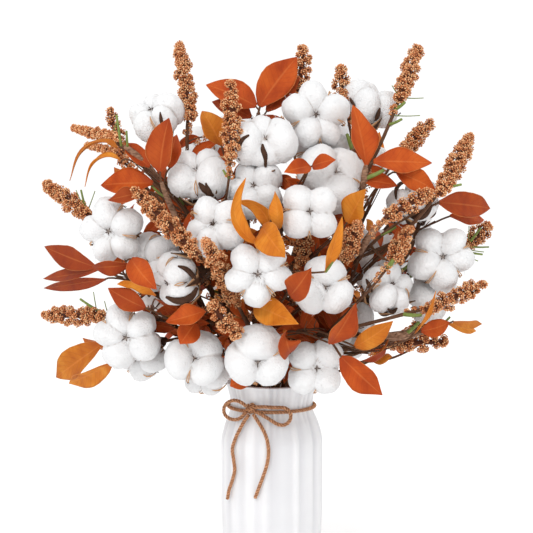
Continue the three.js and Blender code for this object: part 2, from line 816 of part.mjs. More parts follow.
function spikeBody(spike, grow) {
  const { base, tip, along, up, right } = spikeFrame(spike);
  const radius = spike.radius ?? spikeRadius;
  const rows = spikeRows.map(([share, reach], row) => {
    const middle = base.clone().lerp(tip, share);
    return Array.from({ length: spikeSides }, (_, side) => {
      const angle = (2 * Math.PI * side) / spikeSides;
      const cluster = (side + row) % 2 === 0 ? clusterHigh : clusterLow;
      const out = radius * reach * cluster + grow;
      return middle
        .clone()
        .addScaledVector(up, out * Math.cos(angle))
        .addScaledVector(right, out * Math.sin(angle));
    });
  });
  const start = base.clone().addScaledVector(along, -grow);
  const end = tip.clone().addScaledVector(along, grow);
  return ringed(start, rows, end);
}

// Leaves: a lens outline on a bowed midline, turned about its rib

function outwardFrom(point) {
  return vector(
    point.x / crownHalfWidth ** 2,
    point.y / crownHalfDepth ** 2,
    (point.z - crownCentre) / crownHalfHeight ** 2
  ).normalize();
}

function leafFrame(leaf) {
  if (leaf.settled) {
    return leaf.settled;
  }
  const base = leaf.from ?? seenOnCrown(leaf.base, leaf.deeper[0]);
  const tip = leaf.to ?? seenOnCrown(leaf.tip, leaf.deeper[1]);
  const along = tip.clone().sub(base).normalize();
  const outward = outwardFrom(base.clone().lerp(tip, 0.5));
  const facing = outward.addScaledVector(along, -outward.dot(along)).normalize();
  const bend = base.clone().lerp(tip, 0.5).addScaledVector(facing, leaf.bow ?? leafBow);
  facing.applyAxisAngle(along, THREE.MathUtils.degToRad(leaf.turn));
  const edge = facing.clone().cross(along).multiplyScalar(0.45 * leaf.width);
  const samples = [0.25, 0.5, 0.75].flatMap((share) => [
    [share, edge],
    [share, edge.clone().negate()],
  ]);
  settle(base, bend, tip, [...samples, [1, vector(0, 0, 0)]], leafSpare);
  leaf.settled = { along, facing, midline: new THREE.QuadraticBezierCurve3(base, bend, tip) };
  return leaf.settled;
}

function leafSections(leaf, grow) {
  const { facing, midline, along } = leafFrame(leaf);
  return leafRows.map(([share, width]) => {
    const tangent = midline.getTangent(share);
    const normal = facing.clone().applyAxisAngle(along, THREE.MathUtils.degToRad((leaf.twist ?? 0) * share));
    normal.addScaledVector(tangent, -normal.dot(tangent)).normalize();
    const centre = midline.getPoint(share);
    if (share === 1) {
      centre.addScaledVector(tangent, edgeRoom * grow);
    }
    return {
      centre,
      reach: (width * leaf.width) / 2 + edgeRoom * grow,
      sideways: normal.clone().cross(tangent),
      facing: normal,
      rib: leafThickness / 2 + grow,
      fold: leafFold,
    };
  });
}

function petioleSections(curve, normal, grow) {
  const reach = petioleRadius + grow;
  let facing = normal;
  const fromTheLeaf = petioleShares.toReversed().map((share) => {
    const tangent = curve.getTangentAt(share);
    facing = facing.clone().addScaledVector(tangent, -facing.dot(tangent)).normalize();
    const sideways = facing.clone().cross(tangent);
    return { centre: curve.getPointAt(share), reach, sideways, facing, rib: reach, fold: 0 };
  });
  return fromTheLeaf.toReversed();
}

function petiole(leaf, curve, grow) {
  const sections = leafSections(leaf, grow);
  return blade([...petioleSections(curve, sections[0].facing, grow), sections[0]]);
}

function leafOnPetiole(leaf, curve, grow) {
  const sections = leafSections(leaf, grow);
  return blade([...petioleSections(curve, sections[0].facing, grow), ...sections]);
}

// The back, which the front view doesn't show: leaves and spikes spread round it by a seeded rule

function backItem(index, count, length, seed) {
  const angle = Math.PI * (0.1 + (0.8 * (index + 0.5)) / count + 0.03 * (chance(seed) - 0.5));
  const height = 195 + 200 * ((index * 0.382 + chance(seed + 1) * 0.12) % 1);
  const share = Math.sqrt(Math.max(0.1, 1 - ((height - crownCentre) / crownHalfHeight) ** 2));
  const from = vector(
    crownHalfWidth * share * 0.86 * Math.cos(angle),
    crownHalfDepth * share * 0.98 * Math.sin(angle) + 4,
    height
  );
  const outward = outwardFrom(from);
  const climb = vector(0.6 * (chance(seed + 2) - 0.5), 0.1, 0.3 + 0.8 * chance(seed + 3));
  const lean = outward.multiplyScalar(0.75).add(climb).normalize();
  return { from, to: from.clone().addScaledVector(lean, length) };
}

for (let index = 0; index < backLeaves; index += 1) {
  const item = backItem(index, backLeaves, 56, 41 + 5 * index);
  const turn = 60 * (chance(300 + index) - 0.5);
  leafSprays.leaf_spray_back.leaves.push({ ...item, width: 18 + 7 * chance(320 + index), turn });
}
for (let index = 0; index < backSpikes; index += 1) {
  milletSprays.millet_spray_back.spikes.push(backItem(index, backSpikes, 66, 507 + 11 * index));
}

// Ways: the curves of stalks and twigs, bent clear of what is already placed

const obstacles = [];

function wallGap(point, radius) {
  if (point.z > vaseHeight + 4) {
    return Infinity;
  }
  const hollow = (point.z < neckHeight + 8 ? neckRadius : rimRadius) - vaseWall;
  return hollow - radius - 2 * clearance - Math.hypot(point.x, point.y);
}

function roomAround(start, end, radius, owner, skip) {
  const middle = start.clone().lerp(end, 0.5);
  const reach = start.distanceTo(end) / 2 + 40;
  const near = obstacles.filter((item) => {
    const own = item.owner === owner && item.point.distanceTo(start) < forkRoom;
    return item.owner !== skip && !own && item.point.distanceTo(middle) < reach;
  });
  return (point) => {
    let gap = wallGap(point, radius);
    for (const item of near) {
      if (item.owner !== owner || point.distanceTo(start) >= forkRoom) {
        gap = Math.min(gap, point.distanceTo(item.point) - item.radius - radius - clearance);
      }
    }
    return gap;
  };
}

function swayChoices(chord) {
  const { up, right } = frameOf(chord);
  const still = vector(0, 0, 0);
  const ring = (reach) =>
    Array.from({ length: swayTurns }, (_, turn) => {
      const angle = (2 * Math.PI * turn) / swayTurns;
      return still
        .clone()
        .addScaledVector(up, reach * Math.cos(angle))
        .addScaledVector(right, reach * Math.sin(angle));
    });
  const bows = swayReaches.flatMap(ring).map((sway) => [sway, sway]);
  const sways = [still, ...swayMixes.flatMap(ring)];
  const bends = sways.flatMap((first) => sways.map((second) => [first, second]));
  return [[still, still], ...bows, ...bends];
}

function alongBends(bends) {
  return bends.slice(1).flatMap((bend, index) => {
    const count = Math.ceil(bend.distanceTo(bends[index]) / 3);
    return Array.from({ length: count }, (_, step) => bends[index].clone().lerp(bend, (step + 1) / count));
  });
}

function clearWay(start, rise, arrive, end, radius, owner, skip, bendsOf) {
  const gapAt = roomAround(start, end, radius, owner, skip);
  let best = { gap: -Infinity };
  for (const [early, late] of swayChoices(end.clone().sub(start))) {
    const first = start.clone().add(rise).add(early);
    const second = end.clone().sub(arrive).add(late);
    const curve = new THREE.CubicBezierCurve3(start.clone(), first, second, end.clone());
    curve.arcLengthDivisions = 40;
    let gap = Infinity;
    for (const point of alongBends(bendsOf(curve))) {
      gap = Math.min(gap, gapAt(point));
      if (gap <= best.gap) {
        break;
      }
    }
    if (gap > best.gap) {
      best = { curve, gap };
    }
    if (best.gap >= 0) {
      break;
    }
  }
  return best;
}

function twigBends(curve) {
  return curve.getSpacedPoints(twigSteps(curve));
}

function petioleBends(curve) {
  return [...petioleShares, 1].map((share) => curve.getPointAt(share));
}

function moveHead(head, step) {
  head.points.forEach((point) => {
    point.y += step;
  });
}

function block(bends, radius, owner) {
  alongBends(bends).forEach((point) => obstacles.push({ point, radius, owner }));
}

function nearest(points, target) {
  return points.reduce((best, point) => (point.distanceTo(target) < best.distanceTo(target) ? point : best));
}

function twigWay(outer, stalkLine, fork, head, radius, name, bendsOf) {
  const start = nearest(stalkLine, outer.getPoint(fork));
  const length = head.end.distanceTo(start);
  const towards = head.end.clone().sub(start).normalize();
  const leave = outer.getTangent(fork).lerp(towards, 0.6).multiplyScalar(0.35 * length);
  const approach = head.along.clone().multiplyScalar(0.35 * length);
  return clearWay(start, leave, approach, head.end, radius, name, head.owner, bendsOf);
}

function clearestOf(head, tries) {
  let best = { gap: -Infinity, nudge: 0 };
  let moved = 0;
  for (const nudge of head.points.length > 0 ? headNudges : [0]) {
    moveHead(head, nudge - moved);
    moved = nudge;
    for (const attempt of nudge === 0 ? tries : tries.slice(0, 1)) {
      const way = attempt();
      if (way.gap > best.gap) {
        best = { ...way, nudge };
      }
      if (best.gap >= 0) {
        return best.curve;
      }
    }
  }
  moveHead(head, best.nudge - moved);
  return best.curve;
}

function routeSpray(name, spray, heads, radius, bendsOf) {
  const angle = THREE.MathUtils.degToRad(spray.angle);
  const ring = rings[spray.ring];
  const foot = vector(0.8 * ring * Math.cos(angle), 0.8 * ring * Math.sin(angle), vaseFloor + clearance);
  const neck = vector(ring * Math.cos(angle), ring * Math.sin(angle), neckHeight + 8);
  const stalkAlong = (outer) => {
    const upper = [0.12, 0.25, 0.38, 0.52, 0.66, 0.8, 0.92, 1].map((share) => outer.getPoint(share));
    const lower = [foot, foot.clone().lerp(neck, 0.5), neck];
    return new THREE.CatmullRomCurve3([...lower, ...upper], false, "centripetal");
  };
  const stalkBends = (outer) => stalkAlong(outer).getSpacedPoints(stalkSteps);
  const [leader, ...others] = heads;
  const outer = clearestOf(leader, [
    () => {
      const reach = leader.end.distanceTo(neck);
      const rise = vector(Math.cos(angle) * 0.06 * reach, Math.sin(angle) * 0.06 * reach, 0.34 * reach);
      const arrive = leader.along.clone().multiplyScalar(0.3 * reach);
      return clearWay(neck, rise, arrive, leader.end, stalkRadius, name, leader.owner, stalkBends);
    },
  ]);
  const stalk = stalkAlong(outer);
  const stalkLine = alongBends(stalk.getSpacedPoints(stalkSteps));
  block(stalk.getSpacedPoints(stalkSteps), stalkRadius, name);
  const twigs = others.map((head, index) => {
    const evenly = spray.fork + forkStep * (index - (others.length - 1) / 2);
    const tries = forkShifts.map((shift) => {
      const fork = THREE.MathUtils.clamp(evenly + shift, 0.12, 0.88);
      return () => twigWay(outer, stalkLine, fork, head, radius, name, bendsOf);
    });
    const curve = clearestOf(head, tries);
    block(bendsOf(curve), radius, name);
    return curve;
  });
  return { stalk, twigs };
}

function stalkTube(way, grow) {
  return tube(way.stalk, stalkRadius + grow, stalkSides, stalkSteps);
}

function twigSteps(curve) {
  return THREE.MathUtils.clamp(Math.round(curve.getLength() / twigStep), 2, 5);
}

function twigTube(curve, radius, grow) {
  return tube(curve, radius + grow, twigSides, twigSteps(curve));
}

// The vase: pleats gathered at the neck, a wavy rim, a hollow with a thick floor

function vaseRadiusAt(height) {
  const above = vaseProfile.findIndex((row) => row.height >= height);
  if (above <= 0) {
    return vaseProfile[0].radius;
  }
  const low = vaseProfile[above - 1];
  const high = vaseProfile[above];
  return THREE.MathUtils.mapLinear(height, low.height, high.height, low.radius, high.radius);
}

function vaseSolid(grow) {
  const sides = 2 * pleats;
  const ring = (radius, height, pleat) =>
    Array.from({ length: sides }, (_, side) => {
      const angle = (2 * Math.PI * side) / sides;
      const wave = (side % 2 === 0 ? 1 : -1) * pleat * (0.6 + 0.4 * Math.sin(2.4 * side));
      return vector((radius + wave) * Math.cos(angle), (radius + wave) * Math.sin(angle), height);
    });
  const outer = vaseProfile.map((row) => ring(row.radius + grow, row.height, row.pleat));
  const inner = vaseHollow.map((row) => ring(row.radius - grow, row.height, 0));
  const rows = [...outer, ...inner];
  return ringed(vector(0, 0, 0), rows, vector(0, 0, vaseFloor));
}

// Twine: a cord round the neck with its knot, two loops and two hanging tails

function onVase(pixel, lift) {
  let point = seen(pixel, -neckRadius);
  for (let round = 0; round < 6; round += 1) {
    const radius = vaseRadiusAt(point.z) + pleatDepth + twineDiameter / 2 + lift;
    const y = -Math.sqrt(Math.max(0, radius ** 2 - point.x ** 2));
    point = seen(pixel, y);
  }
  return point;
}

function twineCurve(route) {
  const points = route.map(([across, down, lift]) => onVase([across, down], lift));
  return new THREE.CatmullRomCurve3(points, false, "centripetal");
}

function twineTube(curve, steps, grow) {
  return tube(curve, twineDiameter / 2 + grow, 8, steps);
}

function twineBand(grow) {
  const radius = twineDiameter / 2 + grow;
  const section = Array.from({ length: bandSides + 1 }, (_, corner) => {
    const angle = (-2 * Math.PI * corner) / bandSides;
    return new THREE.Vector2(bandRadius + radius * Math.cos(angle), radius * Math.sin(angle));
  });
  const ring = new THREE.LatheGeometry(section, 24);
  ring.rotateX(Math.PI / 2);
  ring.translate(0, 0, neckHeight);
  const middle = onVase(knotPixel, 0.6);
  const { front, up, right } = frameOf(vector(middle.x, middle.y, 0));
  const around = (rise, across, lift) =>
    middle.clone().addScaledVector(up, rise).addScaledVector(right, across).addScaledVector(front, lift);
  const turn = (rise, across) => {
    const [low, over, high] = [around(-rise, -across, -1.2), around(0, 0, 3.4), around(rise, across, -1.2)];
    const curve = new THREE.QuadraticBezierCurve3(low, over, high);
    return tube(curve, radius, bandSides, 3);
  };
  return join([toSolid(ring), turn(3.6, 0.6), turn(1.2, 3.8)]);
}

// Assembly: each node is cut clear of all stalks and twigs, and of the heads that come before its own

const finish = (color, roughness) => new THREE.MeshStandardMaterial({ color, roughness, metalness: 0 });
const bunch = new THREE.Group();

function touches(first, second) {
  const one = first.boundingBox();
  const two = second.boundingBox();
  return [0, 1, 2].every((axis) => one.min[axis] <= two.max[axis] && two.min[axis] <= one.max[axis]);
}

const cutters = [];

function addCutters(owner, solids) {
  solids.forEach((solid) => cutters.push({ owner, solid }));
}

function trimmed(solid, owner) {
  const others = cutters.filter((item) => item.owner !== owner && touches(item.solid, solid));
  return others.reduce((rest, item) => rest.subtract(item.solid), solid);
}

Object.keys(bolls).forEach((name) => {
  const boll = bollFrame(name);
  obstacles.push({ point: boll.centre, radius: bollCoreShare * boll.radius, owner: name });
});
Object.entries(milletSprays).forEach(([name, spray]) => {
  spray.spikes.forEach((spike) => {
    const { base, tip } = spikeFrame(spike);
    spike.core = [0.1, 0.3, 0.5, 0.7, 0.9].map((share) => base.clone().lerp(tip, share));
    spike.core.forEach((point) => {
      obstacles.push({ point, radius: spikeCoreShare * spikeRadius, owner: name + " spikes" });
    });
  });
});

const ways = {};
Object.entries(cottonStems).forEach(([name, spray]) => {
  const heads = spray.bolls.map((boll) => {
    const frame = bollFrame(boll);
    return { end: burrSeat(frame), along: frame.front, owner: boll, points: [] };
  });
  ways[name] = routeSpray(name, spray, heads, twigRadius, twigBends);
});
Object.entries(milletSprays).forEach(([name, spray]) => {
  const heads = spray.spikes.map((spike) => {
    const { base, tip, along } = spikeFrame(spike);
    const end = base.clone().lerp(tip, 0.2);
    return { end, along, owner: name + " spikes", points: [end, base, tip, ...spike.core] };
  });
  ways[name] = routeSpray(name, spray, heads, petioleRadius, twigBends);
});
Object.entries(leafSprays).forEach(([name, spray]) => {
  const heads = spray.leaves.map((leaf) => {
    const { midline } = leafFrame(leaf);
    const end = midline.getPoint(leafRows[0][0]);
    const points = [end, midline.v0, midline.v1, midline.v2];
    return { end, along: midline.getTangent(0), owner: name, points };
  });
  ways[name] = routeSpray(name, spray, heads, petioleRadius, petioleBends);
});

function timber(name, grow) {
  const way = ways[name];
  const stalk = stalkTube(way, grow);
  if (name in leafSprays) {
    const leaves = leafSprays[name].leaves.slice(1);
    return [stalk, ...way.twigs.map((curve, index) => petiole(leaves[index], curve, grow))];
  }
  const radius = name in cottonStems ? twigRadius : petioleRadius;
  return [stalk, ...way.twigs.map((curve) => twigTube(curve, radius, grow))];
}

function heads(name, grow) {
  if (name in cottonStems) {
    return cottonStems[name].bolls.map((boll) => burr(boll, grow));
  }
  if (name in milletSprays) {
    return milletSprays[name].spikes.map((spike) => spikeBody(spike, grow));
  }
  const [first, ...others] = leafSprays[name].leaves;
  const twigs = ways[name].twigs;
  const onTwigs = others.map((leaf, index) => leafOnPetiole(leaf, twigs[index], grow));
  return [blade(leafSections(first, grow)), ...onTwigs];
}

const vaseBody = vaseSolid(0);
const bandBody = twineBand(0);
const cords = {};
addCutters("vase", [vaseSolid(clearance)]);
addCutters("twine_band", [twineBand(clearance)]);
Object.entries(twineRoutes).forEach(([name, cord]) => {
  const curve = twineCurve(cord.route);
  cords[name] = trimmed(twineTube(curve, cord.steps, 0), name);
  addCutters(name, [twineTube(curve, cord.steps, clearance)]);
});

const bodies = {};
const sprays = [...Object.keys(cottonStems), ...Object.keys(milletSprays), ...Object.keys(leafSprays)];
sprays.forEach((name) => addCutters(name, timber(name, clearance)));
sprays.forEach((name) => {
  const wood = name in leafSprays ? [stalkTube(ways[name], 0)] : timber(name, 0);
  bodies[name] = trimmed(join([...wood, ...heads(name, 0)]), name);
  addCutters(name, heads(name, clearance));
});
Object.entries(lintNodes).forEach(([name, members]) => {
  bodies[name] = trimmed(join(members.map((boll) => puff(boll, 0))), name);
  addCutters(name, members.map((boll) => puff(boll, clearance)));
});

bunch.add(toMesh("vase", vaseBody, finish(glaze, 0.45)));
bunch.add(toMesh("twine_band", bandBody, finish(jute, 0.9)));
Object.entries(cords).forEach(([name, solid]) => bunch.add(toMesh(name, solid, finish(jute, 0.9))));
Object.keys(cottonStems).forEach((name) => bunch.add(toMesh(name, bodies[name], finish(bark, 0.85))));
Object.keys(milletSprays).forEach((name) => bunch.add(toMesh(name, bodies[name], finish(millet, 0.8))));
Object.keys(leafSprays).forEach((name) => bunch.add(toMesh(name, bodies[name], finish(rust, 0.65))));
Object.keys(lintNodes).forEach((name) => bunch.add(toMesh(name, bodies[name], finish(cotton, 0.95))));

export default bunch;
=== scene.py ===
# %% [markdown]
# # A bunch of cotton stems in a pleated vase
# The real object is a dried bunch: open cotton bolls, rust leaves and millet spikes, in a white vase with a
# twine bow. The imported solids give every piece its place, and this lesson dresses them one kind at a time.
# Everything could be sculpted by hand, but a plant is many small repeats, so each kind is a rule with a few
# numbers for each head, and the same rules that placed the solids place the fine pieces.

import math

import bpy
import numpy as np
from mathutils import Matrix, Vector, noise


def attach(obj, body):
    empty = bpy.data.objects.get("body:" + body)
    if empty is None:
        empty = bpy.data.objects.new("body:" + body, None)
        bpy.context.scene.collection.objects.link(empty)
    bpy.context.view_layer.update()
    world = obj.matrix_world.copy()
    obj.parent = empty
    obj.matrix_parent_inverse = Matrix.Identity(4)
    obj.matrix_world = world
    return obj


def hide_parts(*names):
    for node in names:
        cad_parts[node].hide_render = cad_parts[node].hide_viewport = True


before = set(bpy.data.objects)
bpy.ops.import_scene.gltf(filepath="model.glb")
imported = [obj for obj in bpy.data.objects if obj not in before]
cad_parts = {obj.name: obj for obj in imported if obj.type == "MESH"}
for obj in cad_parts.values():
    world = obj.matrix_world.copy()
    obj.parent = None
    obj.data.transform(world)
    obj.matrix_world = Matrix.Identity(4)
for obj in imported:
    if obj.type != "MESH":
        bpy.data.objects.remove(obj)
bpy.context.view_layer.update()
mm = 0.001

# %% [markdown]
# ## The camera
# The photo looks at the bunch from a little above, from far enough to flatten it. A camera could be matched
# by eye, but the layout below reads places off the picture, so its distance, tilt and scale are numbers
# that both share: a square picture 533 wide, 0.9 mm to a pixel in the plane of the stems.

# %% The camera
picture_middle, picture_scale, picture_distance = 266.5, 0.9, 1500
picture_tilt = math.radians(5)
look_at = np.array([-4.5, 0, 287])
camera_data = bpy.data.cameras.new("front_camera")
camera_data.sensor_width = 36
camera_data.lens = 36 * picture_distance / (2 * picture_middle * picture_scale)
camera = bpy.data.objects.new("front_camera", camera_data)
away = np.array([0, -math.cos(picture_tilt), math.sin(picture_tilt)])
camera.location = (look_at + picture_distance * away) * mm
camera.rotation_euler = (math.pi / 2 - picture_tilt, 0, 0)
bpy.context.scene.collection.objects.link(camera)
bpy.context.scene.camera = camera
print("lens", round(camera_data.lens, 1))

# %% [markdown]
# ## Reading places off the picture
# A head is laid out by the pixel it is seen at. Its depth comes from a rounded crown that all heads sit on,
# so the bunch is full from every side. The same few lines of perspective turn a pixel and a depth into a
# place.

# %% Places from pixels
crown_centre, crown_half_width, crown_half_depth, crown_half_height = 300, 205, 130, 195


def unit(vector):
    return vector / np.linalg.norm(vector)


def units(vectors):
    """Each row made one long"""
    return vectors / np.linalg.norm(vectors, axis=1)[:, None]


def between(first, second, share):
    return first + (second - first) * share


def seen(pixel, y):
    """The place that a pixel shows, at the depth y"""
    across = (pixel[0] - picture_middle) * picture_scale
    up = (picture_middle - pixel[1]) * picture_scale
    x, z = 0, look_at[2] + up
    for _ in range(4):
        depth = y * math.cos(picture_tilt) - (z - look_at[2]) * math.sin(picture_tilt)
        spread = 1 + depth / picture_distance
        x = look_at[0] + across * spread
        z = look_at[2] + (up * spread - y * math.sin(picture_tilt)) / math.cos(picture_tilt)
    return np.array([x, y, z])


def seen_on_crown(pixel, deeper):
    """The place that a pixel shows on the crown, or deeper than the crown by so many millimetres"""
    point = seen(pixel, 0)
    for _ in range(3):
        left = 1 - (point[0] / crown_half_width) ** 2 - ((point[2] - crown_centre) / crown_half_height) ** 2
        point = seen(pixel, deeper - crown_half_depth * math.sqrt(max(0, left)))
    return point


def chance(seed):
    """A number from 0 to 1 that looks random, and is the same each time for the same seed"""
    value = math.sin(seed * 12.9898) * 43758.5453
    return value - math.floor(value)


def frame_of(facing):
    """The directions in front, up and right of a thing that faces some way"""
    front = unit(np.asarray(facing, float))
    reference = np.array([0.0, 1, 0] if abs(front[2]) > 0.93 else [0.0, 0, 1])
    up = unit(reference - front * (reference @ front))
    return front, up, np.cross(up, front)


print("the picture's middle is at", seen((picture_middle, picture_middle), 0).round(1))

# %% [markdown]
# ## Curves
# Stems and twine follow curves through a few points. Blender's own curve objects could do it, but the
# pieces have to lie where the solids lie, so the same two curves are used: a cubic Bezier for a twig, and a
# spline through points, with knots by the root of the distance, which doesn't overshoot where points crowd
# together.


# %% Curves
def bezier(controls, shares):
    t = np.asarray(shares, float)[:, None]
    rest = 1 - t
    first, second, third, fourth = controls
    return rest**3 * first + 3 * rest**2 * t * second + 3 * rest * t**2 * third + t**3 * fourth


def bezier_direction(controls, share):
    first, second, third, fourth = controls
    rest = 1 - share
    early, late = rest**2 * (second - first), share**2 * (fourth - third)
    return unit(early + 2 * rest * share * (third - second) + late)


def spline(points, shares):
    points = np.asarray(points, float)
    padded = np.vstack([2 * points[0] - points[1], points, 2 * points[-1] - points[-2]])
    place = np.asarray(shares, float) * (len(points) - 1)
    step = np.minimum(np.floor(place).astype(int), len(points) - 2)
    t = (place - step)[:, None]
    p0, p1, p2, p3 = (padded[step + shift] for shift in range(4))
    d0, d1, d2 = (np.sqrt(np.linalg.norm(b - a, axis=1))[:, None] for a, b in ((p0, p1), (p1, p2), (p2, p3)))
    leave = ((p1 - p0) / d0 - (p2 - p0) / (d0 + d1) + (p2 - p1) / d1) * d1
    arrive = ((p2 - p1) / d1 - (p3 - p1) / (d1 + d2) + (p3 - p2) / d2) * d1
    square, cube = 3 * (p2 - p1) - 2 * leave - arrive, 2 * (p1 - p2) + leave + arrive
    return p1 + leave * t + square * t**2 + cube * t**3


def bowed(start, bend, end, share):
    """A point, or points, of the plain bow from start to end that is drawn towards bend"""
    return (1 - share) ** 2 * start + 2 * (1 - share) * share * bend + share**2 * end


def travelled(path):
    """How far along a path each of its points lies"""
    return np.concatenate([[0], np.cumsum(np.linalg.norm(np.diff(path, axis=0), axis=1))])


def evenly(curve, controls, shares, divisions):
    """Points at even shares of a curve's length, and that length"""
    steps = np.linspace(0, 1, divisions + 1)
    lengths = travelled(curve(controls, steps))
    return curve(controls, np.interp(np.asarray(shares) * lengths[-1], lengths, steps)), lengths[-1]


def eased(path, rounds=2):
    """A path with its corners cut, and the same ends"""
    for _ in range(rounds):
        cuts = np.stack([path[:-1] * 0.75 + path[1:] * 0.25, path[:-1] * 0.25 + path[1:] * 0.75], axis=1)
        path = np.vstack([path[:1], cuts.reshape(-1, 3)[1:-1], path[-1:]])
    return path


def smooth(bends, step):
    """A path through bends with its corners well cut, and a point about every step"""
    path = eased(bends, 3)
    lengths = travelled(path)
    stops = np.linspace(0, lengths[-1], max(4, int(lengths[-1] / step)))
    return np.column_stack([np.interp(stops, lengths, path[:, axis]) for axis in range(3)])


# %% [markdown]
# ## Gathering a mesh
# Each piece is made of many parts: lobes, grains, twigs. Joining that many objects with modifiers would be
# slow, so points and faces are gathered in arrays and become one mesh at the end. Four numbers ride on each
# point for the finishes to read: a tone for the part, a shade for hollows, and how far along and across it
# the point is. The shade is painted shade in hollows and furrows, and on the leaves a darker tone of their
# own; on the vase the tone is painted shade in the pleats' valleys. A mark on each face picks its finish from
# the piece's list.


# %% The gathering class
class Shape:
    """Points, their values and faces, gathered for one mesh"""

    def __init__(self):
        self.points, self.values, self.faces, self.marks, self.count = [], [], [], [], 0

    def add(self, points, groups, mark=0, tone=0.0, shade=0.0, along=0.0, across=0.0):
        points = np.asarray(points, float).reshape(-1, 3)
        values = [np.broadcast_to(value, len(points)) for value in (tone, shade, along, across)]
        self.points.append(points)
        self.values.append(np.column_stack(values))
        for group in groups:
            self.faces.append(np.asarray(group) + self.count)
            self.marks.append(np.full(len(group), mark))
        self.count += len(points)

    def mesh(self, name):
        data = bpy.data.meshes.new(name)
        sizes = np.concatenate([np.full(len(group), group.shape[1]) for group in self.faces])
        corners = np.concatenate([group.ravel() for group in self.faces])
        data.vertices.add(self.count)
        data.vertices.foreach_set("co", np.concatenate(self.points).ravel() * mm)
        data.loops.add(len(corners))
        data.loops.foreach_set("vertex_index", corners)
        data.polygons.add(len(sizes))
        data.polygons.foreach_set("loop_start", np.concatenate([[0], np.cumsum(sizes)[:-1]]))
        data.polygons.foreach_set("material_index", np.concatenate(self.marks))
        data.polygons.foreach_set("use_smooth", np.ones(len(sizes), bool))
        values = np.concatenate(self.values)
        for column, attribute in enumerate(("tone", "shade", "along", "across")):
            layer = data.attributes.new(attribute, "FLOAT", "POINT")
            layer.data.foreach_set("value", values[:, column].astype(np.float32))
        data.update(calc_edges=True)
        data.validate()
        return data


triangles = {}


def place(name, shape, finishes, node, slot):
    """Makes a piece that stands for a node, and rides on the part's one body"""
    data = shape.mesh(name)
    for finish in finishes:
        data.materials.append(finish)
    piece = bpy.data.objects.new(name, data)
    bpy.context.scene.collection.objects.link(piece)
    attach(piece, "root")
    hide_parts(node)
    triangles[name] = sum(len(group) * (group.shape[1] - 2) for group in shape.faces)
    return piece


# %% [markdown]
# ## Skins, fans and tubes
# Nearly every part is a row of rings with quads between them and a fan at each end. A tube carries its
# frame along its path, so that it doesn't twist where the path turns.

# %% Skins, fans and tubes
tube_end = 0.4


def skin(rows, wide):
    """Quads between rings of points"""
    here = np.arange(wide)
    after = (here + 1) % wide
    low = np.arange(rows - 1)[:, None] * wide
    return np.stack([low + here, low + after, low + wide + after, low + wide + here], axis=-1).reshape(-1, 4)


def fan(hub, first, wide, start):
    """Triangles from a hub to the ring that starts at a point; the start of a body faces the other way"""
    here = np.arange(wide)
    after = (here + 1) % wide
    ends = (after, here) if start else (here, after)
    return np.column_stack([np.full(wide, hub), first + ends[0], first + ends[1]])


def closed_rings(rows, start, end):
    """Points and faces of a closed body of rings, given as an array of rows, sides and places"""
    count, wide = rows.shape[:2]
    points = np.vstack([rows.reshape(-1, 3), start, end])
    hub = count * wide
    faces = [skin(count, wide), fan(hub, 0, wide, True), fan(hub + 1, hub - wide, wide, False)]
    return points, faces


def carried_frames(path):
    """The directions along, beside and over a path, carried along it without a twist"""
    tangents = units(np.gradient(path, axis=0))
    side = frame_of(tangents[0])[1]
    sides = []
    for tangent in tangents:
        side = unit(side - tangent * (side @ tangent))
        sides.append(side)
    sides = np.array(sides)
    return tangents, sides, np.cross(tangents, sides)


def wheel(angles, first, second):
    """Directions round a wheel, from its first spoke towards its second"""
    turns = np.asarray(angles)[..., None]
    return first * np.cos(turns) + second * np.sin(turns)


def tube(shape, path, radii, sides=8, **values):
    """A closed tube; the radii are two ends, one for each point, or one for each point and side"""
    path = np.asarray(path, float)
    tangents, side, up = carried_frames(path)
    ring = wheel(2 * math.pi * np.arange(sides) / sides, side[:, None], up[:, None])
    if isinstance(radii, tuple):
        radii = np.linspace(*radii, len(path))
    radii = radii.reshape(len(path), -1) * np.ones(sides)
    rows = path[:, None] + ring * radii[..., None]
    start = path[0] - tangents[0] * tube_end * radii[0, 0]
    end = path[-1] + tangents[-1] * tube_end * radii[-1, 0]
    for name, value in values.items():
        if np.ndim(value) == 1:
            values[name] = np.concatenate([np.repeat(value, sides), [value[0], value[-1]]])
    shape.add(*closed_rings(rows, start, end), **values)


# %% [markdown]
# ## Finishes
# A finish is a node graph. Sums and products of sockets are written as plain expressions: the small class
# below turns them into Math nodes. Colours never go through them, because a Math node turns a colour grey,
# so they go through a Mix node.


# %% Sockets as numbers
class Wire:
    """A socket that can be added, subtracted and multiplied"""

    def __init__(self, finish, socket):
        self.finish, self.socket = finish, socket

    def __add__(self, other):
        return self.finish.node("ShaderNodeMath", {"operation": "ADD"}, [self, other])

    def __sub__(self, other):
        return self.finish.node("ShaderNodeMath", {"operation": "SUBTRACT"}, [self, other])

    def __rsub__(self, other):
        return self.finish.node("ShaderNodeMath", {"operation": "SUBTRACT"}, [other, self])

    def __mul__(self, other):
        return self.finish.node("ShaderNodeMath", {"operation": "MULTIPLY"}, [self, other])

    __radd__ = __add__
    __rmul__ = __mul__


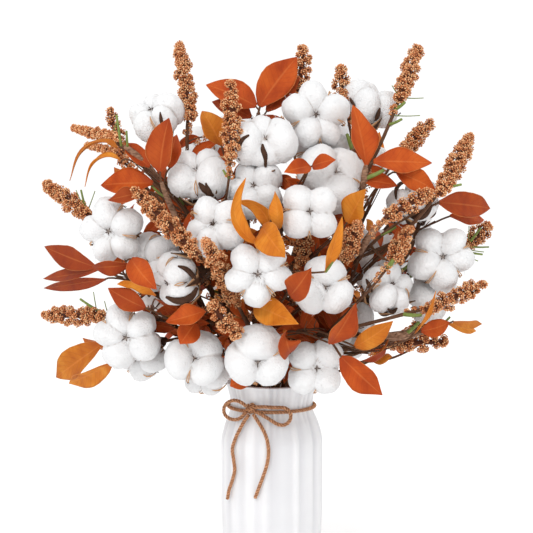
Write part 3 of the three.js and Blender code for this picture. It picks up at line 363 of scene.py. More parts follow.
# %% Finishes
class Finish:
    """A material, its constants, and the nodes that feed it"""

    def __init__(self, name, **constants):
        self.material = bpy.data.materials.new(name)
        self.material.use_nodes = True
        self.tree = self.material.node_tree
        self.shader = self.tree.nodes["Principled BSDF"]
        for socket, value in constants.items():
            self.shader.inputs[socket.replace("_", " ")].default_value = value

    def node(self, kind, settings, inputs, output=0):
        made = self.tree.nodes.new(kind)
        for setting, value in settings.items():
            if setting == "stops":
                while len(made.color_ramp.elements) < len(value):
                    made.color_ramp.elements.new(0.5)
                for element, (position, color) in zip(made.color_ramp.elements, value):
                    element.position, element.color = position, color
            else:
                setattr(made, setting, value)
        for key, value in enumerate(inputs) if isinstance(inputs, list) else inputs.items():
            if isinstance(value, Wire):
                self.tree.links.new(value.socket, made.inputs[key])
            else:
                made.inputs[key].default_value = value
        return Wire(self, made.outputs[output])

    def read(self, attribute):
        return self.node("ShaderNodeAttribute", {"attribute_name": attribute}, {}, "Fac")

    def grain(self, scale, detail=3.0, stretch=(1, 1, 1)):
        """Noise in the object's own metres, with scale cells to the metre"""
        place_now = self.node("ShaderNodeTexCoord", {}, {}, "Object")
        stretched = self.node("ShaderNodeVectorMath", {"operation": "MULTIPLY"}, [place_now, stretch])
        return self.node("ShaderNodeTexNoise", {}, {"Vector": stretched, "Scale": scale, "Detail": detail}, 0)

    def ramp(self, wire, *stops):
        return self.node("ShaderNodeValToRGB", {"stops": stops}, [wire], 0)

    def spread(self, wire, low, high):
        """A number between two limits, drawn out to run from 0 to 1"""
        return self.node("ShaderNodeMapRange", {}, {"Value": wire, "From Min": low, "From Max": high}, 0)

    def blend(self, factor, first, second):
        inputs = {"Factor": factor, 6: first, 7: second}
        return self.node("ShaderNodeMix", {"data_type": "RGBA"}, inputs, 2)

    def set(self, **links):
        for socket, wire in links.items():
            self.tree.links.new(wire.socket, self.shader.inputs[socket.replace("_", " ")])

    def bump(self, height, strength, distance):
        inputs = {"Height": height, "Strength": strength, "Distance": distance}
        self.set(Normal=self.node("ShaderNodeBump", {}, inputs, 0))


def tint(red, green, blue):
    """A colour as the eye reads it, from 0 to 255, as the shader's light amounts"""
    amounts = [c / 255 for c in (red, green, blue)]
    return tuple(c / 12.92 if c <= 0.04045 else ((c + 0.055) / 1.055) ** 2.4 for c in amounts) + (1.0,)


# %% [markdown]
# ## The twine's finish
# Jute twine is tan, with short fibres of uneven colour, and the furrow between each pair of plies is darkened
# with painted shade. A photo texture could carry that, but fine noise gives the same flecks at any distance,
# and each point knows how deep in a furrow it lies, which sets the painted shade.

# %% The twine's finish
twine = Finish("twine_fibre", Roughness=0.9, Specular_IOR_Level=0.15)
twine_flecks = twine.grain(900, 4)
twine_color = twine.blend(twine_flecks, tint(196, 130, 88), tint(242, 188, 144))
twine_color = twine.blend(twine.read("tone"), twine_color, tint(122, 72, 44))
# Painted shade, darkest deep in the furrow between plies.
twine_color = twine.blend(twine.read("shade"), twine_color, tint(84, 46, 26))
twine.set(Base_Color=twine_color)
twine.bump(twine_flecks, 0.5, 0.0006)
print("nodes in the twine's finish", len(twine.tree.nodes))

# %% [markdown]
# ## The four free cords
# Two loops and two tails of the bow are free cords, 3.3 mm thick and limp. Each is three plies wound round
# one smooth line, which lies on the front of the vase: the loops go back into the knot, and the tails hang
# down with bare ends. A rope could be one striped tube, but the plies give its outline the right notches.

# %% Lying on the vase
neck_radius = 36.4
vase_floor, neck_height, rim_height = 14, 161, 184
vase_rows = [(44.0, 0, 0.2), (45.8, 70, 0.9), (45.6, 133, 1.5), (41.2, 147, 1.2), (36.8, 156, 0.4)]
vase_rows += [(36.8, 166, 0.4), (41.5, 184, 1.1)]
vase_radii, vase_heights, vase_pleats = (np.array(column, float) for column in zip(*vase_rows))
twine_diameter = 3.3


def on_vase(pixel, lift):
    """The place a pixel shows on the vase's front, for a cord that stands off it by lift"""
    point = seen(pixel, -neck_radius)
    for _ in range(6):
        radius = np.interp(point[2], vase_heights, vase_radii) + 1.5 + twine_diameter / 2 + lift
        point = seen(pixel, -math.sqrt(max(0, radius**2 - point[0] ** 2)))
    return point


print("neck", 2 * neck_radius, "mm wide, rim", rim_height, "mm high")


# %% Routes of the cords: pixels of the front view, and how far each point stands off the vase
twine_routes = {
    "bow_loop_left": [
        (247, 406.5, 5.6), (239.4, 401.5, 6.8), (233.5, 400.4, 8.3), (227.5, 402.6, 10.9),
        (224.1, 407.5, 12.9), (224.3, 413.3, 12), (228.3, 417.9, 8.7), (234.4, 419.6, 4.7),
        (239.8, 418.3, 3.3), (246.6, 411.6, 1),
    ],
    "bow_loop_right": [
        (255.6, 407, 4.8), (264.4, 406.9, 4.1), (274, 407.6, 4.2), (284.7, 408, 5.5), (288.9, 411, 6.2),
        (290.8, 416.4, 6.4), (288.9, 421.8, 4.6), (284.1, 424.9, 2.2), (278.6, 424.6, 1.2),
        (267.6, 418.2, 2), (256.4, 411.6, 0.9),
    ],
    "twine_tail_left": [
        (248.6, 415, 3), (245, 420, 2.2), (241, 427, 0.9), (235.6, 438, 0.4), (232.4, 449, 0.4),
        (233.6, 460, 0.4), (234.6, 470, 0.4), (232, 481, 0.4), (229, 490, 0.4), (227.5, 499, 0.4),
    ],
    "twine_tail_right": [
        (253.4, 414.4, 3), (257, 420, 2), (262, 428, 0.4), (266.5, 438, 0.4), (268.5, 450, 0.4),
        (267.5, 462, 0.4), (264, 474, 0.4), (259.5, 486, 0.4), (255, 498, 0.4),
    ],
}
print("free cords", len(twine_routes))

# %% Three plies round a line
plies, ply_sides, ply_pitch = 3, 7, 8.0
ply_offset, ply_radius = 0.27, 0.25
furrow_shade_edge, furrow_shade_width = 0.525, 0.13


def twisted(shape, path, tone=0.0):
    """Plies wound round a path, with shade painted where a furrow brings their skin near the middle line"""
    _, side, up = carried_frames(path)
    lengths = travelled(path)
    for ply in range(plies):
        offset = wheel(2 * math.pi * (lengths / ply_pitch + ply / plies), side, up)
        swell = 1 + 0.06 * np.sin(lengths * 2.3 + 2 * ply)
        line = path + offset * ply_offset * twine_diameter
        tube(shape, line, ply_radius * twine_diameter * swell, ply_sides, tone=tone + 0.15 * ply)
        # The shade number is painted shade: the nearer a point of a ply lies to the cord's middle line, the
        # darker.
        rings = shape.points[-1][:-2].reshape(len(path), ply_sides, 3)
        out = np.linalg.norm(rings - path[:, None], axis=2) / twine_diameter
        shape.values[-1][:-2, 1] = np.clip((furrow_shade_edge - out) / furrow_shade_width, 0, 1).ravel()


for name, pixel_route in twine_routes.items():
    route_points = [on_vase((across, down), lift) for across, down, lift in pixel_route]
    path, length = evenly(spline, route_points, np.arange(36) / 35, 200)
    fine_path, _ = evenly(spline, route_points, np.linspace(0, 1, int(1.5 * length)), 200)
    shape = Shape()
    twisted(shape, fine_path)
    short_name = name.replace("bow_", "").replace("twine_", "")
    piece = place("cord_" + short_name, shape, [twine.material], name, "twine")
    path[0] * mm
    "object" if "loop" in name else "bare"
    path * mm

# %% [markdown]
# ## The twine round the neck, and its knot
# A band of the same twine holds the gathers, and the knot in front is four short turns over a crossing.
# Unlike the loops and tails, it is tied tight. It could be joined to the loops, but the knot is what they go
# into.

# %% The band and the knot
band_radius = neck_radius + 0.8 + twine_diameter / 2 + 0.3
band_round = wheel(np.linspace(0, 2 * math.pi, 370), np.array([1, 0, 0]), np.array([0, 1, 0]))
shape = Shape()
twisted(shape, band_radius * band_round + [0, 0, neck_height])
knot_pixel, knot_depth = (251, 408.5), 1.2
knot_turns = ((4.2, 0.8, 4.0), (1.4, 5.2, 4.4), (-2.8, 3.4, 3.0), (3.4, 3.0, 1.6))
knot_middle = on_vase(knot_pixel, 0.6)
front, up, right = frame_of((knot_middle[0], knot_middle[1], 0))
for rise, across, over in knot_turns:
    low = knot_middle - up * rise - right * across - front * knot_depth
    high = knot_middle + up * rise + right * across - front * knot_depth
    turn_path = bowed(low, knot_middle + front * over, high, np.linspace(0, 1, 24)[:, None])
    twisted(shape, turn_path, tone=0.1)
place("band_of_twine", shape, [twine.material], "twine_band", "twine")
print("band", round(2 * math.pi * band_radius), "mm round")

# %% [markdown]
# ## The vase
# The vase is slip-cast satin porcelain that looks like gathered paper: sixteen soft pleats run up it, crowd
# together under the twine, and open into a ruffled collar. A lathe alone gives a plain turned pot, so the
# rings of the lathe get a wave that grows with height, and the neck a second, finer one.

# %% The pleats and the gathers round the vase
wide, pleat_sides, gather_count = 256, 32, 41
turns = 2 * math.pi * np.arange(wide) / wide
place_in_pleats = turns / (2 * math.pi) * pleat_sides
pleat_reach = [0.6 + 0.4 * math.sin(2.4 * side) for side in range(pleat_sides)]
reach_here = np.interp(place_in_pleats, np.arange(pleat_sides + 1), [*pleat_reach, pleat_reach[0]])
sway = 0.55 * np.sin(3 * turns + 1.0) + 0.4 * np.sin(7 * turns + 0.4) + 0.25 * np.sin(11 * turns)
pleat_wave = np.cos(math.pi * (place_in_pleats + sway))
pleat_wave = reach_here * np.sign(pleat_wave) * np.abs(pleat_wave) ** 0.8
gather_wave = np.cos(gather_count * turns + 1.3 * np.sin(5 * turns)) * (0.6 + 0.4 * np.sin(7 * turns))
print("pleats", pleat_sides // 2, "gathers", gather_count)

# %% The rings of the vase
edge, collar_start, sharp_rows = 1.2, 166, 8
heights = np.concatenate([np.linspace(edge, 130, 34), np.linspace(132, rim_height - edge, 50)])
nearby = np.linspace(-4, 4, 9)


def softened(values):
    """Values at the heights, each the mean of those a few millimetres round it"""
    spread = np.clip(heights[:, None] + nearby, 0, rim_height)
    return np.interp(spread, vase_heights, values).mean(axis=1)


smooth_radii = softened(vase_radii)
smooth_radii[-sharp_rows:] = np.interp(heights[-sharp_rows:], vase_heights, vase_radii)
gather_reach = 0.9 * np.exp(-(((heights - neck_height) / 15) ** 2))
gather_reach += 0.5 * np.clip((heights - collar_start) / 15, 0, 1)
waves = 0.95 * softened(vase_pleats)[:, None] * pleat_wave + gather_reach[:, None] * gather_wave
rings = smooth_radii[:, None] + waves
foot_row = (rings[0] - 1.0, np.zeros(wide))
outer_rows = [foot_row, *((ring, np.full(wide, z)) for ring, z in zip(rings, heights))]
lip = rim_height - 0.8 + 0.4 * (0.7 * pleat_wave + 0.5 * gather_wave)
lip_rows = [(rings[-1] - inset, lip - drop) for inset, drop in ((0.3, 0.5), (1.1, 0), (2.4, 0), (3.2, 0.7))]
inner_profile = [(35.0, 174), (32.4, 164), (34.5, 151), (39.6, 128), (39.4, 60), (38.6, 30)]
inner_profile.append((35.9, vase_floor))
inner_rows = [(radius + 0.5 * pleat_wave, np.full(wide, z)) for radius, z in inner_profile]
all_rows = outer_rows + lip_rows + inner_rows
points = np.array([[radii * np.cos(turns), radii * np.sin(turns), z] for radii, z in all_rows])
# Painted shade: the inside of the vase is coloured darker and warmer towards its floor, through the shade
# number.
hollow = np.interp(np.arange(len(all_rows)), [0, len(outer_rows) + 2, len(all_rows) - 2], [0, 0, 1])
# Painted shade: the valleys of the pleats are greyed in the colour, through the tone number.
pleat_valley_shade = np.zeros((len(all_rows), wide))
pleat_valley_shade[1 : len(outer_rows)] = np.clip(0.2 - 0.4 * waves, 0, 1)
shape = Shape()
shape.add(
    *closed_rings(points.transpose(0, 2, 1), [[0, 0, 0]], [[0, 0, vase_floor]]),
    shade=np.append(np.repeat(hollow, wide), [0, 1]),
    tone=np.append(pleat_valley_shade.ravel(), [0, 0]),
)
print("rings", len(all_rows), "of", wide, "points")

# %% The vase's finish
glaze = Finish("satin_glaze", Roughness=0.42, Specular_IOR_Level=0.45, Coat_Roughness=0.35)
speckle = glaze.grain(55, 5)
glaze_color = glaze.blend(speckle, tint(222, 222, 224), tint(232, 232, 233))
# Painted shade in the valleys of the pleats, from the tone number.
glaze_color = glaze.blend(glaze.read("tone"), glaze_color, tint(200, 200, 204))
# Painted shade inside the vase, from the shade number.
glaze_color = glaze.blend(glaze.read("shade"), glaze_color, tint(205, 198, 192))
glaze.set(Base_Color=glaze_color, Roughness=0.38 + 0.12 * speckle)
glaze.bump(glaze.grain(220, 4), 0.12, 0.0008)
place("pleated_vase", shape, [glaze.material], "vase", "glaze")
print("vase", triangles["pleated_vase"], "triangles")

# %% [markdown]
# ## The heads of the bunch
# Each boll, leaf and spike of the photo is one row: the pixel or pixels it is seen at, how deep it lies,
# and how it is turned. They could be scattered by chance, but then the bunch would be another one. Only the
# back, which the photo doesn't show, is spread by a seeded rule.


# %% What a row of each kind says
def boll_row(at, y, faces, **looks):
    """A boll of the photo: its pixel and depth, and the way it faces"""
    return {"centre": seen(at, y), "faces": faces, **looks}


def back_row(centre, faces, **looks):
    """A boll of the unseen back: its place, and the way it faces"""
    return {"centre": np.array(centre, float), "faces": faces, **looks}


def spike(base, tip, deeper, slim=1.0):
    """A millet spike: the pixels of its ends, how deep each lies under the crown, and its thickness"""
    return {"base": base, "tip": tip, "deeper": deeper, "slim": slim}


def leaf(base, tip, width, deeper, turn, bow=5, **looks):
    """A leaf: the pixels and depths of its ends, its width, and how it turns and bows"""
    return {"base": base, "tip": tip, "width": width, "deeper": deeper, "turn": turn, "bow": bow, **looks}


def spray(ring, angle, fork, heads):
    """A stalk: the ring and angle it stands at in the vase, where it forks, and its heads"""
    return {"ring": ring, "angle": angle, "fork": fork, "heads": heads}


def count_heads(kind, sprays):
    print(kind, len(sprays), "with", sum(len(row["heads"]) for row in sprays.values()), "heads")


# %% Bolls, and the nodes their lint belongs to
bolls = {
    "boll_01": boll_row((157, 117), -70, (-0.45, -0.55, 0.7), size=51),
    "boll_02": boll_row((199, 179), -92, (-0.2, -0.6, 0.75), bracts=True, locks=(-120, -45, 25, 95)),
    "boll_03": boll_row((264, 146), -102, (0.1, -0.8, 0.6), bracts=True, locks=(-80, -5, 75)),
    "boll_04": boll_row((315, 116), -74, (0.05, -0.97, 0.15), size=62, spin=-8),
    "boll_05": boll_row((370, 107), -40, (0.3, -0.35, 0.88), bracts=True),
    "boll_06": boll_row((332, 178), -90, (0.3, -0.8, 0.5), size=62, locks=(60, 180, 300)),
    "boll_07": boll_row((310, 213), -135, (-0.05, -0.98, 0.2), lobes=4, spin=45, fills=0.9),
    "boll_08": boll_row((217, 228), -128, (-0.3, -0.85, 0.4)),
    "boll_09": boll_row((113, 231), -88, (-0.25, -0.96, 0.05), size=61, spin=-5),
    "boll_10": boll_row((178, 279), -110, (-0.85, -0.3, -0.25), bracts=True, fills=0.9),
    "boll_11": boll_row((258, 274), -146, (0, -1, 0.05), size=60, spin=40, locks=(-40, 40, 100, 185, 255)),
    "boll_12": boll_row((323, 288), -130, (0.2, -0.95, 0.2), lobes=4, spin=10,
                        locks=(10, 125, 240), fills=0.9),
    "boll_13": boll_row((415, 201), -80, (-0.3, -0.45, 0.8), size=51, bracts=True, locks=(0, 130, 230)),
    "boll_14": boll_row((440, 257), -78, (0.1, -0.98, 0.1), size=60, spin=35, locks=(-35, 40, 95, 175, 245)),
    "boll_15": boll_row((387, 290), -95, (0.4, -0.65, 0.6), size=53, bracts=True, fills=0.91),
    "boll_16": boll_row((128, 337), -85, (-0.1, -0.98, 0.05), size=60, spin=-25,
                        locks=(-25, 50, 115, 210, 280)),
    "boll_17": boll_row((196, 359), -94, (-0.1, -0.9, 0.2), lobes=4, size=58, spin=30,
                        locks=(35, 130, 265), fills=0.9),
    "boll_18": boll_row((258, 357), -122, (0, -0.9, -0.25), lobes=4, spin=20, locks=(0, 125, 250)),
    "boll_19": boll_row((316, 366), -98, (0.05, -1, -0.05), lobes=4, size=58, spin=45, fills=0.92),
    "boll_20": boll_row((365, 255), -45, (0.2, -0.8, 0.5)),
    "boll_21": boll_row((144, 353), -50, (-0.7, -0.5, -0.4), size=52),
    "boll_22": boll_row((204, 371), -60, (-0.4, -0.6, -0.6), size=50),
    "boll_23": boll_row((320, 150), -52, (0.2, -0.95, 0.2)),
    "boll_25": boll_row((256, 190), -99, (-0.2, -0.8, 0.4), size=54),
    "boll_26": boll_row((155, 262), -72, (-0.6, -0.7, 0.1), size=54),
    "boll_27": boll_row((350, 330), -60, (0.5, -0.8, -0.1), size=52),
    "boll_28": boll_row((430, 297), -51, (0.7, -0.6, -0.2), size=54),
    "back_01": back_row((-30, 88, 402), (-0.1, 0.8, 0.6)),
    "back_02": back_row((-72, 77, 387), (-0.6, 0.5, 0.6), size=54),
    "back_03": back_row((-62, 118, 315), (-0.4, 0.9, 0.2), bracts=True),
    "back_04": back_row((-112, 88, 258), (-0.7, 0.7, 0.1), size=60),
    "back_05": back_row((-49, 124, 271), (-0.2, 0.95, -0.2)),
    "back_06": back_row((50, 78, 408), (0.3, 0.7, 0.65), size=58),
    "back_07": back_row((86, 64, 379), (0.7, 0.4, 0.5), size=54),
    "back_08": back_row((40, 128, 322), (0.1, 1, 0.15)),
    "back_09": back_row((130, 62, 322), (0.9, 0.3, 0.2)),
    "back_10": back_row((113, 86, 284), (0.6, 0.8, 0.05)),
    "back_11": back_row((49, 126, 277), (0.2, 0.95, -0.2)),
}

lint_nodes = {
    "lint_top_left": ["boll_01"], "lint_upper_left": ["boll_02"], "lint_top_middle": ["boll_03", "boll_25"],
    "lint_top": ["boll_04", "boll_23"], "lint_top_right": ["boll_05"], "lint_upper_right": ["boll_06"],
    "lint_centre_high": ["boll_07"], "lint_centre_left": ["boll_08"], "lint_left": ["boll_09", "boll_26"],
    "lint_left_middle": ["boll_10"], "lint_centre": ["boll_11"], "lint_centre_right": ["boll_12"],
    "lint_right_high": ["boll_13"], "lint_right": ["boll_14", "boll_28"], "lint_right_middle": ["boll_15"],
    "lint_low_left": ["boll_16", "boll_21"], "lint_low_middle": ["boll_17", "boll_22"],
    "lint_rim_left": ["boll_18"], "lint_rim_right": ["boll_19"], "lint_inner_right": ["boll_20"],
    "lint_low_right": ["boll_27"], "lint_back_top_left": ["back_01", "back_02"],
    "lint_back_left": ["back_03", "back_05"], "lint_back_low_left": ["back_04"],
    "lint_back_top_right": ["back_06", "back_07"], "lint_back_right": ["back_09", "back_10"],
    "lint_back_middle": ["back_08", "back_11"],
}
print("bolls", len(bolls), "in", len(lint_nodes), "nodes")

# %% Stems with their bolls
cotton_stems = {
    "cotton_stem_upper_left": spray("middle", 229, 0.45, ["boll_01", "boll_02", "boll_03", "boll_25"]),
    "cotton_stem_upper_right": spray("middle", 300, 0.45, ["boll_05", "boll_04", "boll_06", "boll_23"]),
    "cotton_stem_left": spray("outer", 210, 0.45, ["boll_09", "boll_26", "boll_10", "boll_08"]),
    "cotton_stem_front": spray("outer", 274, 0.45, ["boll_07", "boll_11", "boll_12"]),
    "cotton_stem_right": spray("outer", 338, 0.45, ["boll_13", "boll_14", "boll_15", "boll_20", "boll_28"]),
    "cotton_stem_low_left": spray("outer", 226, 0.4, ["boll_16", "boll_21", "boll_17", "boll_22"]),
    "cotton_stem_low_front": spray("outer", 306, 0.35, ["boll_27", "boll_18", "boll_19"]),
    "cotton_stem_back_left": spray("middle", 125, 0.4, [
        "back_01", "back_02", "back_03", "back_04", "back_05"
    ]),
    "cotton_stem_back_right": spray("middle", 55, 0.4, [
        "back_06", "back_07", "back_08", "back_09", "back_10", "back_11"
    ]),
}
count_heads("cotton stems", cotton_stems)

# %% Millet and its spikes
millet_sprays = {
    "millet_spray_top_left": spray("inner", 190, 0.4, [
        spike((191, 118), (178, 43), (12, 0)),
        spike((232, 160), (231, 81), (0, -14)),
        spike((199, 252), (133, 189), (-8, -14)),
    ]),
    "millet_spray_left": spray("outer", 178, 0.4, [
        spike((118, 138), (73, 128), (0, -6), slim=0.62),
        spike((117, 152), (86, 145), (22, 22), slim=0.45),
        spike((90, 217), (45, 183), (20, 6)),
        spike((103, 316), (44, 315), (20, 4)),
    ]),
    "millet_spray_top": spray("inner", 330, 0.45, [
        spike((398, 100), (418, 47), (14, 0)),
        spike((342, 104), (340, 66), (40, 30)),
        spike((298, 100), (304, 46), (50, 30)),
    ]),
    "millet_spray_right": spray("outer", 354, 0.4, [
        spike((437, 193), (470, 136), (-6, -6)),
        spike((403, 150), (431, 123), (14, 6)),
        spike((384, 218), (432, 191), (-22, -34)),
        spike((466, 247), (489, 224), (40, 26)),
    ]),
    "millet_spray_low_right": spray("outer", 322, 0.35, [
        spike((424, 308), (482, 281), (-4, -4)),
        spike((388, 344), (447, 341), (20, 6)),
        spike((394, 262), (409, 227), (-10, -16)),
    ]),
    "millet_spray_front": spray("outer", 258, 0.35, [
        spike((234, 303), (206, 238), (-12, -28)),
        spike((239, 337), (210, 303), (-14, -24)),
        spike((347, 262), (359, 221), (-2, -12)),
        spike((302, 262), (305, 229), (14, 4)),
    ]),
    "millet_spray_back": spray("middle", 90, 0.3, []),
}
count_heads("millet stems", millet_sprays)

# %% Leaves
leaf_sprays = {
    "leaf_spray_top": spray("inner", 255, 0.7, [
        leaf((259, 108), (297, 57), 29, (30, 18), 15),
        leaf((257, 107), (206, 85), 26, (30, 20), -10),
        leaf((252, 118), (212, 102), 20, (40, 36), -10, dark=1.0),
        leaf((266, 112), (300, 78), 18, (36, 34), 25),
    ]),
    "leaf_spray_upper_left": spray("middle", 206, 0.6, [
        leaf((153, 184), (99, 186), 24, (-4, -14), 15),
        leaf((160, 173), (169, 118), 27, (-12, -30), -10),
        leaf((171, 168), (177, 134), 15, (6, 0), 20),
        leaf((150, 192), (110, 199), 15, (4, 2), 20, dark=1.0),
        leaf((150, 168), (125, 143), 16, (6, 0), 30),
        leaf((120, 146), (70, 181), 10, (-8, -20), 45, bow=-10, gold=0.85,
             route=[(118, 149), (108, 142.5), (94, 144), (80, 155), (70, 181)]),
        leaf((122, 160), (85, 187), 10, (-6, -16), 45, bow=-8, gold=0.8,
             route=[(121, 160), (111, 156.5), (100, 159), (91, 168), (85, 187)]),
    ]),
    "leaf_spray_left": spray("middle", 182, 0.6, [
        leaf((97, 268), (44, 247), 19, (16, 0), 10, dark=1.0),
        leaf((99, 270), (44, 279), 12, (18, 4), 25, dark=1.0),
        leaf((107, 279), (44, 288), 12, (20, 8), -25, dark=1.0),
        leaf((133, 264), (93, 266), 14, (0, -4), -30, dark=1.0),
        leaf((131, 258), (157, 289), 20, (-4, -22), -20),
    ]),
    "leaf_spray_low_left": spray("outer", 194, 0.45, [
        leaf((101, 346), (54, 380), 26, (16, 4), 15, gold=0.75),
        leaf((113, 362), (69, 384), 20, (22, 12), -25, gold=0.8),
        leaf((146, 308), (108, 288), 18, (-2, -14), 20),
        leaf((157, 298), (118, 282), 14, (2, -12), -40, bow=12, gold=0.8,
             route=[(157, 296), (148, 288), (136, 283), (126, 282), (117, 284)]),
        leaf((206, 310), (166, 322), 18, (-4, -18), 40),
        leaf((196, 322), (180, 344), 20, (4, -10), -10),
    ]),
    "leaf_spray_upper_front": spray("middle", 253, 0.6, [
        leaf((310, 166), (284, 172), 15, (-8, -22), 15),
        leaf((312, 166), (336, 160), 14, (-8, -26), -15),
        leaf((222, 146), (202, 111), 24, (24, 10), 30, gold=0.8),
        leaf((304, 197), (286, 179), 13, (-4, -14), 20),
        leaf((262, 246), (246, 179), 18, (-16, -36), 35, bow=10, gold=0.9, slender=0.66,
             route=[(261, 245), (245, 235), (234.5, 214), (237, 196), (246, 178)]),
        leaf((273, 228), (241, 202), 20, (-8, -20), -35, bow=-12, gold=0.95, slender=0.66,
             route=[(271, 236), (268, 220), (260, 209), (250, 203), (236, 201)]),
    ]),
    "leaf_spray_upper_right": spray("middle", 324, 0.7, [
        leaf((366, 167), (353, 105), 26, (-8, -20), 20),
        leaf((372, 162), (432, 163), 22, (-8, -22), -10),
        leaf((396, 172), (435, 190), 18, (-4, -14), 15),
        leaf((362, 180), (397, 186), 16, (2, -4), -20),
    ]),
    "leaf_spray_right": spray("middle", 347, 0.6, [
        leaf((437, 202), (489, 208), 22, (-6, -4), 10),
        leaf((449, 216), (484, 220), 15, (14, 14), -15),
        leaf((390, 262), (399, 227), 20, (8, 0), 20),
    ]),
    "leaf_spray_centre": spray("outer", 242, 0.5, [
        leaf((279, 228), (275, 191), 20, (-6, -16), -30, gold=0.85, slender=0.66),
        leaf((262, 226), (285, 257), 24, (-14, -44), 20, gold=1.0),
        leaf((324, 271), (341, 215), 18, (-10, -30), 30, gold=0.8, slender=0.66),
        leaf((347, 224), (366, 189), 22, (-8, -28), -35, gold=0.85),
        leaf((289, 294), (311, 267), 20, (-14, -40), -20),
    ]),
    "leaf_spray_low_front": spray("middle", 277, 0.4, [
        leaf((253, 305), (298, 323), 23, (-8, -32), -15, bow=10, gold=0.75),
        leaf((290, 350), (283, 328), 20, (6, -4), 25),
        leaf((330, 344), (356, 303), 22, (-8, -34), 20),
        leaf((354, 347), (393, 321), 17, (-14, -30), -15, gold=0.8),
        leaf((247, 372), (230, 386), 17, (30, 18), 10),
        leaf((290, 364), (284, 385), 11, (26, 14), 20),
    ]),
    "leaf_spray_low_right": spray("outer", 290, 0.4, [
        leaf((340, 355), (382, 394), 25, (-10, -34), 15),
        leaf((388, 340), (362, 360), 17, (8, 0), -35, bow=12),
        leaf((384, 346), (362, 342), 12, (18, 14), 20),
        leaf((414, 334), (436, 291), 8, (-14, -36), 40, gold=0.85),
        leaf((420, 331), (450, 322), 15, (2, -4), -20),
        leaf((452, 321), (482, 324), 9, (10, 6), 20, gold=0.8),
        leaf((447, 324), (476, 331), 8, (22, 20), -20, gold=0.8),
    ]),
    "leaf_spray_back": spray("outer", 90, 0.3, []),
}
count_heads("leafy twigs", leaf_sprays)

# %% Frames of the bolls, and what is round
ring_radii = {"inner": 9, "middle": 18, "outer": 27}
puff_depth, puff_back, burr_gap, spike_radius = 0.88, 0.66, 3.7, 8.6
usual_boll = {"size": 56, "lobes": 5, "fills": 0.95, "bracts": False, "locks": None}


def boll_frame(order, name):
    boll = {**usual_boll, "name": name, "order": order, "spin": 360 * chance(order + 1), **bolls[name]}
    boll["front"], boll["up"], boll["right"] = frame_of(boll["faces"])
    boll["spin"] = math.radians(boll["spin"])
    boll["radius"] = boll["size"] / 2
    boll["seat"] = boll["centre"] - boll["front"] * (boll["radius"] * puff_depth * puff_back + burr_gap)
    return boll


boll_frames = {name: boll_frame(order, name) for order, name in enumerate(bolls)}
round_centres = np.array([boll["centre"] for boll in boll_frames.values()])
round_radii = np.array([boll["radius"] for boll in boll_frames.values()])
print("bolls from", 2 * round_radii.min(), "to", 2 * round_radii.max(), "mm wide")

# %% [markdown]
# ## Heads settle between the bolls
# A leaf or a spike laid out by its pixels would run through a boll, so it moves towards the viewer, or
# away, until it clears the round things. A simulation could do it, but ten small steps of a rule are
# enough, and give the same places each time.


# %% Settling
def shift_clear(point, spare):
    """How far a point has to move along y to leave the bolls"""
    reach = round_radii + spare
    aside = np.hypot(point[0] - round_centres[:, 0], point[2] - round_centres[:, 2])
    depth = np.sqrt(np.maximum(0, reach**2 - aside**2))
    away_from = point[1] - round_centres[:, 1]
    needs = np.where(away_from < 0, -depth, depth) - away_from
    inside = (aside < reach) & (np.abs(away_from) < depth)
    shift = 0
    for need in needs[inside]:
        shift = need if abs(need) > abs(shift) else shift
    return shift


def settle(base, bend, tip, samples, spare):
    """Moves the three points of a bow until its samples are clear of the bolls"""
    for _ in range(10):
        for share, aside in samples:
            shift = 0.5 * shift_clear(bowed(base, bend, tip, share) + aside, spare)
            base[1] += shift * (1 - share) ** 2
            bend[1] += shift
            tip[1] += shift * share**2


# %% Settling spikes and leaves
def outward_from(point):
    x, y, z = point
    spread = [x / crown_half_width**2, y / crown_half_depth**2, (z - crown_centre) / crown_half_height**2]
    return unit(np.array(spread))


def turned(vector, axis, degrees):
    angle = math.radians(degrees)
    return vector * math.cos(angle) + np.cross(axis, vector) * math.sin(angle)


def ends_of(head):
    """The places of a head's base and tip, given or seen in the picture"""
    if "from" in head:
        return head["from"], head["to"]
    return [seen_on_crown(head[end], deeper) for end, deeper in zip(("base", "tip"), head["deeper"])]


def settle_spike(spike):
    base, tip = ends_of(spike)
    samples = [(share, 0) for share in (0.1, 0.35, 0.6, 0.85, 1)]
    settle(base, between(base, tip, 0.5), tip, samples, spike_radius)
    spike["ends"] = base, tip


def settle_leaf(leaf):
    base, tip = ends_of(leaf)
    along = unit(tip - base)
    facing = outward_from(between(base, tip, 0.5))
    facing = unit(facing - along * (facing @ along))
    bend = between(base, tip, 0.5) + facing * leaf["bow"]
    facing = turned(facing, along, leaf["turn"])
    edge = np.cross(facing, along) * 0.45 * leaf["width"]
    samples = [(share, side * edge) for share in (0.25, 0.5, 0.75) for side in (1, -1)]
    settle(base, bend, tip, [*samples, (1, 0)], 3)
    leaf["facing"], leaf["midline"] = facing, (base, bend, tip)


# %% Heads of the back
def back_head(index, count, length, seed, **looks):
    """A leaf or a spike of the unseen back, spread by a seeded rule"""
    angle = math.pi * (0.1 + (0.8 * (index + 0.5)) / count + 0.03 * (chance(seed) - 0.5))
    height = 195 + 200 * ((index * 0.382 + chance(seed + 1) * 0.12) % 1)
    share = math.sqrt(max(0.1, 1 - ((height - crown_centre) / crown_half_height) ** 2))
    across = crown_half_width * share * 0.86 * math.cos(angle)
    start = np.array([across, crown_half_depth * share * 0.98 * math.sin(angle) + 4, height])
    climb = np.array([0.6 * (chance(seed + 2) - 0.5), 0.1, 0.3 + 0.8 * chance(seed + 3)])
    lean = unit(outward_from(start) * 0.75 + climb)
    return {"from": start, "to": start + lean * length, **looks}


